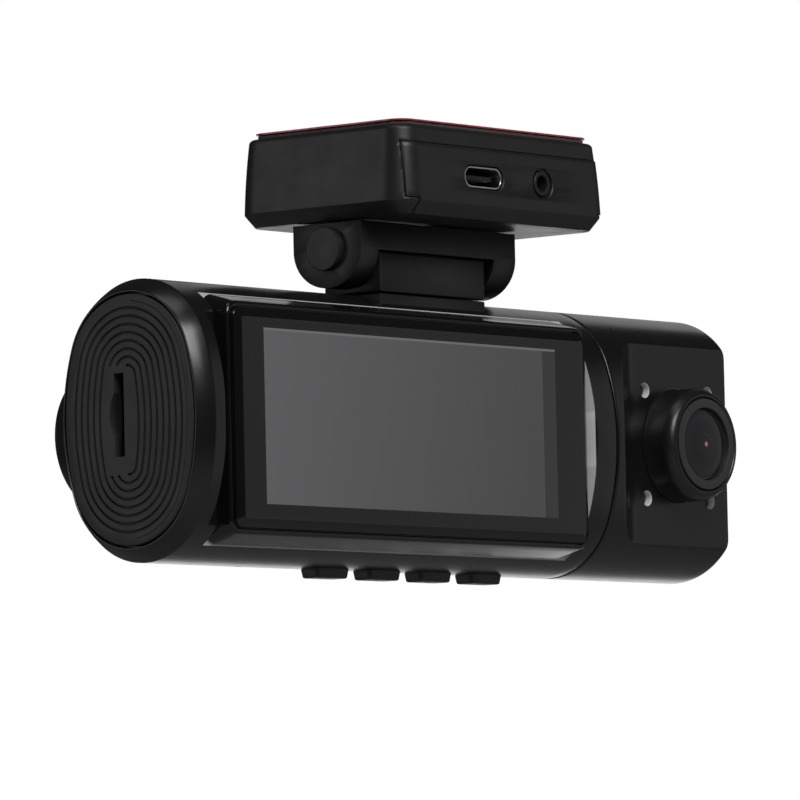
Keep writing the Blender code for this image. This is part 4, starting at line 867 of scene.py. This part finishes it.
def contactTree():
    # a row of flat contacts, repeated on both faces of the tongue
    tree, given = newGroup("contactRow", [("Count", "Int"), ("Pitch", "Float"), ("Size", "Vector"),
                                          ("Rise", "Float"), ("Finish", "Material")])
    bar = addNode(tree, "GeometryNodeMeshCube", {"Size": given["Size"]})
    line = addNode(tree, "GeometryNodeMeshLine", {"Count": given["Count"],
                                                  "Offset": addNode(tree, "ShaderNodeCombineXYZ",
                                                                    {0: given["Pitch"]}).outputs[0]})
    sides = []
    for sign in (1, -1):
        lift = addNode(tree, "ShaderNodeCombineXYZ", {2: calc(tree, "MULTIPLY", given["Rise"], sign)})
        sides.append(addNode(tree, "GeometryNodeTransform", {"Geometry": line.outputs[0],
                                                             "Translation": lift.outputs[0]}).outputs[0])
    both = addNode(tree, "GeometryNodeJoinGeometry")
    for side in sides:
        tree.links.new(side, both.inputs[0])
    row = addNode(tree, "GeometryNodeInstanceOnPoints", {"Points": both.outputs[0], "Instance": bar.outputs["Mesh"]})
    return endGroup(tree, row.outputs[0], given["Finish"])


def makePorts():
    s = portSizes
    low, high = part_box("usb_c_shell")
    centre = (low + high) / 2
    width, height = (high.x - low.x) / mm, (high.z - low.z) / mm
    face, back = low.y / mm - 0.30, high.y / mm

    def ring(y, inset):
        radius = height / 2 - inset - 0.01
        return [Vector((centre.x + u * mm, y * mm, centre.z + v * mm))
                for u, v in rounded(width - 2 * inset, height - 2 * inset, radius, 14)]

    wall, lip = s["wall"], s["lip"]
    rings = [ring(back, 0), ring(face + lip, 0), ring(face + lip * 0.3, 0.035), ring(face, 0.10),
             ring(face, wall - 0.08), ring(face + lip * 0.4, wall - 0.01), ring(face + lip, wall), ring(back, wall)]
    hand(loft("usbShell", rings, "portSteel", False), "usb_c_shell")
    low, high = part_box("usb_c_tongue")
    half = Vector((s["tongue"] / 2, 0, s["tongueThick"] / 2)) * mm
    tongue = block("usbTongue", Vector((centre.x - half.x, low.y, centre.z - half.z)),
                   Vector((centre.x + half.x, high.y - 0.5 * mm, centre.z + half.z)), "innerBlack")
    soften(tongue, 0.12, 2)
    plug = loft("plug", [ring(high.y / mm - 1.4, wall + 0.12), ring(high.y / mm, wall + 0.12)], "innerBlack")
    joinInto(tongue, plug)
    contacts = newPiece("contacts", bpy.data.meshes.new("contacts"))
    contacts.data.from_pydata([(0, 0, 0)], [], [])
    grow(contacts, contactTree(), Count=s["contacts"], Pitch=s["contactPitch"] * mm,
         Size=(s["contactWidth"] * mm, 3.6 * mm, 0.06 * mm), Rise=half.z, Finish=finishes["contactGold"])
    contacts.data.transform(Matrix.Translation((centre.x - s["contactPitch"] * mm * (s["contacts"] - 1) / 2,
                                                low.y + 2.3 * mm, centre.z)))
    hand(tongue, "usb_c_tongue")
    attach(contacts, bodyOf["usb_c_tongue"])
    low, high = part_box("av_jack")
    jack = middle("av_jack")
    profile = [(1.25, 0), (1.28, 0.08), (1.40, 0.14), (1.78, 0.14), (1.88, 0.05), (1.9, -0.1), (1.9, -2.6),
               (3.0, -2.6), (3.0, -9.0), (0.0, -9.0), (0.0, -7.6), (1.25, -7.6), (1.25, -0.2)]
    spot = (jack.x, low.y - 0.2 * mm, jack.z)
    hand(turned("avJack", profile, spot, (0, -1, 0), "innerBlack", 72), "av_jack")


makePorts()
print("ports made")

# ---- adhesive pad

padSizes = {"corner": 2.6, "wave": 0.10}


def makePad():
    # the tape's edge is cut by a knife and wanders a little, the liner stands proud of it
    for node, finish, name, seed in (("adhesive_pad", "tapeFoam", "adhesivePad", 1.3),
                                     ("release_liner", "linerRed", "releaseLiner", 4.1)):
        low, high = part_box(node)
        rows = []
        for z in (low.z, (low.z + high.z) / 2, high.z):
            row = []
            outline = rounded((high.x - low.x) / mm, (high.y - low.y) / mm, padSizes["corner"], 10)
            dense = []
            for (u, v), (p, q) in zip(outline, outline[1:] + outline[:1]):
                pieces = max(1, round(math.hypot(p - u, q - v) / 0.8))
                dense += [(u + (p - u) * i / pieces, v + (q - v) * i / pieces) for i in range(pieces)]
            for u, v in dense:
                wander = padSizes["wave"] * (math.sin(u * 0.9 + seed) * math.sin(v * 1.7 + seed * 2)
                                             + 0.5 * math.sin(u * 2.9 - seed) * math.cos(v * 2.3))
                shrink = 1 - (abs(wander) + 0.02) / 20
                row.append(Vector((u * shrink * mm, v * shrink * mm, z)))
            rows.append(row)
        pad = hand(loft(name, rows, finish), node)


makePad()
print("adhesive pad made")

# ---- tilt hinge

hingeSizes = {"bottom": 5.9, "halfDepth": 6.65, "edge": 0.22, "bridge": 1.5, "bridgeDrop": 0.3, "capRadius": 3.35,
              "capNotch": 0.22}


def makeHinge():
    s = hingeSizes
    low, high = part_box("hinge_yoke")
    pin = middle("hinge_pin")
    washerLow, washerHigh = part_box("friction_washer_left")[0].x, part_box("friction_washer_right")[1].x
    notchLeft, notchRight = washerLow - 0.25 * mm, washerHigh + 0.25 * mm

    def drawn(name, outline, x0, x1, finish=None):
        return loft(name, [[Vector((x, pin.y + u * mm, pin.z + v * mm)) for u, v in outline] for x in (x0, x1)],
                    finish)

    half, top = s["halfDepth"], (high.z - pin.z) / mm
    outline = [(half, top), (-half, top)]
    outline += [(half * math.cos(math.pi * (1 + i / 40)), s["bottom"] * math.sin(math.pi * (1 + i / 40)))
                for i in range(41)]
    yoke = drawn("hingeYoke", outline, low.x, high.x, "mountBlack")
    back = -half + s["bridge"]
    carve(yoke, [drawn("cut", [(back, -9), (9, -9), (9, 9), (back, 9)], notchLeft, notchRight),
                 drawn("cut", [(-9, -9), (back + 0.3, -9), (back + 0.3, -s["bridgeDrop"]),
                               (-9, -s["bridgeDrop"])], notchLeft, notchRight)])
    carve(yoke, [drawn("cut", circleOutline(1.3, 0, 0, 48), low.x - 1 * mm, high.x + 1 * mm)])
    soften(yoke, s["edge"], 3)
    hand(yoke, "hinge_yoke")

    for name, node, aim in (("pinCapLeft", "pin_cap_left", -1), ("pinCapRight", "pin_cap_right", 1)):
        low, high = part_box(node)
        foot = high.x if aim < 0 else low.x
        r = s["capRadius"]
        cap = turned(name, [(0, 0), (r, 0), (r, 0.80), (r - 0.05, 0.92), (r - 0.14, 0.98), (r - 0.26, 1.0),
                            (0, 1.0)], (foot, pin.y, pin.z), (aim, 0, 0),
                     "capBlack", 96)
        nick = drawn("cut", circleOutline(s["capNotch"], r * 0.72, r * 0.72, 16), foot + aim * 0.4 * mm,
                     foot + aim * 2 * mm)
        carve(cap, [nick])
        hand(cap, node)

    low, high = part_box("neck_bracket")
    front, rear = (low.y - pin.y) / mm, (high.y - pin.y) / mm
    bottom, shoulder, knuckle = (low.z - pin.z) / mm, -0.6, 3.0
    start = math.asin(shoulder / knuckle)
    outline = [(front, bottom), (front, shoulder)]
    outline += [(knuckle * math.cos(angle), knuckle * math.sin(angle))
                for angle in [(math.pi - start) * (1 - i / 36) for i in range(36)]]
    outline += [(knuckle, 0), (rear, -2.4), (rear, bottom)]
    neck = drawn("neckBracket", outline, low.x, high.x, "mountBlack")
    carve(neck, [drawn("cut", circleOutline(1.3, 0, 0, 48), low.x - 1 * mm, high.x + 1 * mm)])
    soften(neck, 0.2, 3)
    hand(neck, "neck_bracket")


makeHinge()
print("hinge made")

# ---- buttons

buttonSizes = {"length": 7.5, "depth": 3.6, "corner": 0.62, "draft": 0.16, "markRise": 0.10}


def markOutlines(index):
    # plain generic marks: ring, back, forward, square
    if index == 0:
        return [circleOutline(0.72, 0, 0, 40)], [circleOutline(0.50, 0, 0, 40)]
    if index == 1:
        return [[(-0.7, 0), (0.55, -0.72), (0.55, 0.72)]], []
    if index == 2:
        return [[(0.7, 0), (-0.55, 0.72), (-0.55, -0.72)]], []
    return [rounded(1.35, 1.35, 0.2, 4)], [rounded(0.95, 0.95, 0.12, 4)]


def makeButtons():
    s = buttonSizes
    for i in range(4):
        low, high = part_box(f"button_{i + 1}")
        x = (low.x + high.x) / 2
        face = (low.z - axisZ) / mm
        stations = [(face, 0.42 + s["draft"]), (face + 0.02, 0.26 + s["draft"]), (face + 0.09, 0.11 + s["draft"]),
                    (face + 0.20, 0.03 + s["draft"]), (face + 0.34, s["draft"]), (face + 1.3, 0.0), (face + 4.0, 0.0)]
        rings = [[Vector((x + u * mm, v * mm, axisZ + z * mm)) for u, v in
                  rounded(s["length"] - 2 * inset, s["depth"] - 2 * inset, max(0.25, s["corner"] - inset * 0.5), 8)]
                 for z, inset in stations]
        key = loft(f"button{i + 1}", rings, "capBlack")

        def raised(outline, z0, z1):
            return loft("mark", [[Vector((x + u * mm, v * mm, axisZ + z * mm)) for u, v in outline]
                                 for z in (z0, z1)])

        shapes, holes = markOutlines(i)
        rise = s["markRise"]
        for outline in shapes:
            mark = raised(outline, face - 1, face + rise)
            for hole in holes:
                carve(mark, [raised(hole, face - 2, face + 1)])
            carve(key, [mark])
        flange = block("flange", Vector((low.x, low.y, high.z - 0.8 * mm)), high, "capBlack")
        joinInto(key, flange)
        hand(key, f"button_{i + 1}")


makeButtons()
print("buttons made")

# ---- lenses

lensSizes = {
    "cabin": {"base": 8.8, "rim": 7.1, "shoulder": 4.6, "proud": 5.8, "bore": 6.50, "ring": 6.46, "glass": 5.60,
              "inside": 1.5, "face": -1},
    "road": {"base": 11.7, "rim": 10.7, "shoulder": 11.0, "proud": 13.5, "bore": 9.2, "ring": 8.95, "glass": 7.45,
             "inside": 0.0, "face": 1},
}


def makeLens(prefix):
    s = lensSizes[prefix]
    aim = s["face"]
    low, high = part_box(prefix + "_lens_housing")
    centre = (low + high) / 2
    top = s["proud"]
    tip = low.y if aim < 0 else high.y
    origin = (centre.x, tip - aim * top * mm, centre.z)
    rim, base, bore, shoulder = s["rim"], s["base"], s["bore"], s["shoulder"]
    profile = [(bore, -s["inside"]), (base, -s["inside"]), (base, shoulder - 0.25), (base - 0.04, shoulder - 0.10),
               (base - 0.14, shoulder + 0.02), (rim + 0.30, top - 0.98), (rim + 0.10, top - 0.86), (rim, top - 0.66),
               (rim, top - 0.26), (rim - 0.07, top - 0.08), (rim - 0.20, top), (bore + 0.10, top),
               (bore, top - 0.08)]
    if prefix == "cabin":   # thin collar at the flat, round-nosed barrel, then a groove and the front rim
        profile = [(bore, -s["inside"]), (base, -s["inside"]), (base, 0.02), (base + 0.03, 0.06), (base + 0.03, 0.2),
                   (base, 0.26), (base, top - 2.3), (8.78, top - 1.9), (8.72, top - 1.5), (8.60, top - 1.1),
                   (8.42, top - 0.75), (8.18, top - 0.45), (7.88, top - 0.23), (7.60, top - 0.14),
                   (7.42, top - 0.16), (7.33, top - 0.25), (7.30, top - 0.40), (7.30, top - 0.75),
                   (rim + 0.04, top - 0.80), (rim, top - 0.70), (rim, top - 0.30), (bore, top - 0.30)]
    hand(turned(prefix + "LensHousing", profile, origin, (0, aim, 0), "lensBlack"), prefix + "_lens_housing")
    ring, glass = s["ring"], s["glass"]
    crest = top + 0.02
    collar = rim if prefix == "cabin" else ring
    profile = [(ring, top - 3.0), (ring, top - 0.28), (collar + 0.001, top - 0.28), (collar, crest - 0.14),
               (collar - 0.05, crest - 0.04), (collar - 0.14, crest), (glass + 0.16, crest),
               (glass + 0.08, crest - 0.05), (glass + 0.05, crest - 0.22), (glass + 0.05, top - 3.0)]
    hand(turned(prefix + "LensRing", profile, origin, (0, aim, 0), "ringBlack"), prefix + "_lens_ring")
    dome = [(glass * i / 24, crest - 0.12 - 0.60 * (i / 24) ** 2) for i in range(25)]
    dome += [(glass, top - 1.6), (0, top - 1.6)]
    hand(turned(prefix + "LensGlass", dome, origin, (0, aim, 0), prefix + "Glass"), prefix + "_lens_glass")


makeLens("cabin")
makeLens("road")
for i in range(4):
    low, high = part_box(f"infrared_led_{i + 1}")
    spot = (low + high) / 2
    dome = [(math.sin(math.radians(9 * step)), 0.55 * math.cos(math.radians(9 * step)) - 0.55)
            for step in range(11)]
    lamp = turned(f"infraredLamp{i + 1}", dome + [(1.0, -2.4), (0, -2.4)],
                  (spot.x, low.y + 0.5 * mm, spot.z), (0, -1, 0), "shadedLampEpoxy", 40)
    hand(lamp, f"infrared_led_{i + 1}")
print("lenses and lamps made")

# ---- stage, light and camera

stageSizes = {"floorZ": -0.40, "floorHalf": 4.0}
floorMesh = bpy.data.meshes.new("floor")
half = stageSizes["floorHalf"]
floorMesh.from_pydata([(x * half, y * half, stageSizes["floorZ"]) for x, y in ((-1, -1), (1, -1), (1, 1), (-1, 1))],
                      [], [(0, 1, 2, 3)])
floorMesh.materials.append(newFinish("paleFloor", (0.50, 0.50, 0.50), 0.8)[0])
floor = linked(bpy.data.objects.new("floor", floorMesh))

world = bpy.data.worlds.new("studio")
bpy.context.scene.world = world
world.use_nodes = True
sky = world.node_tree
sky.nodes["Background"].inputs["Strength"].default_value = 0.03
sky.nodes["Background"].inputs["Color"].default_value = (1, 1, 1, 1)
bright = addNode(sky, "ShaderNodeBackground", {"Color": (1, 1, 1, 1), "Strength": 1.0})
seen = addNode(sky, "ShaderNodeLightPath").outputs["Is Camera Ray"]
blended = addNode(sky, "ShaderNodeMixShader", {0: seen, 1: sky.nodes["Background"].outputs[0], 2: bright.outputs[0]})
sky.links.new(blended.outputs[0], sky.nodes["World Output"].inputs[0])

lights = {
    "key": {"place": (-0.55, -1.05, 0.85), "size": (0.8, 0.6), "power": 13},
    "overhead": {"place": (-0.25, -0.10, 0.95), "size": (0.6, 0.4), "power": 1.2},
    "left": {"place": (-0.90, 0.70, 0.10), "size": (0.5, 0.8), "power": 1.3},
    "frontRight": {"place": (0.95, -0.82, 0.02), "size": (1.1, 0.9), "power": 0.85},
    "right": {"place": (0.42, 0.25, 0.13), "size": (0.20, 0.20), "power": 0.06},
    "behind": {"place": (0.90, 0.62, -0.30), "size": (0.5, 0.35), "power": 0.85},
    "topRight": {"place": (0.80, 0.40, 0.53), "size": (0.24, 0.20), "power": 0.06},
}
aimPoint = place(60, 0, 6)
for name, s in lights.items():
    lamp = bpy.data.lights.new(name, "AREA")
    lamp.shape = "RECTANGLE"
    lamp.size, lamp.size_y = s["size"]
    lamp.energy = s["power"]
    holder = linked(bpy.data.objects.new(name, lamp))
    holder.location = s["place"]
    holder.rotation_euler = (aimPoint - Vector(s["place"])).to_track_quat("-Z", "Y").to_euler()

cameraSizes = {"target": (59.06, 5.52), "distance": 1141.3, "azimuth": -50.5, "elevation": -4.21, "roll": -1.26,
               "lens": 339.5}
target = place(cameraSizes["target"][0], 0, cameraSizes["target"][1])
azimuth, elevation = math.radians(cameraSizes["azimuth"]), math.radians(cameraSizes["elevation"])
away = Vector((math.sin(azimuth) * math.cos(elevation), -math.cos(azimuth) * math.cos(elevation),
               math.sin(elevation)))
lens = bpy.data.cameras.new("camera")
lens.lens = cameraSizes["lens"]
lens.sensor_width = 36
lens.clip_start, lens.clip_end = 0.05, 20
camera = linked(bpy.data.objects.new("camera", lens))
across = (-away).cross(Vector((0, 0, 1))).normalized()
upwards = across.cross(-away)
roll = math.radians(cameraSizes["roll"])
axisX = across * math.cos(roll) + upwards * math.sin(roll)
axisY = upwards * math.cos(roll) - across * math.sin(roll)
camera.matrix_world = Matrix.Translation(target + away * cameraSizes["distance"] * mm) @ Matrix(
    (axisX, axisY, away)).transposed().to_4x4()
bpy.context.scene.camera = camera
bpy.context.scene.view_settings.view_transform = "Standard"

print("scene ready")
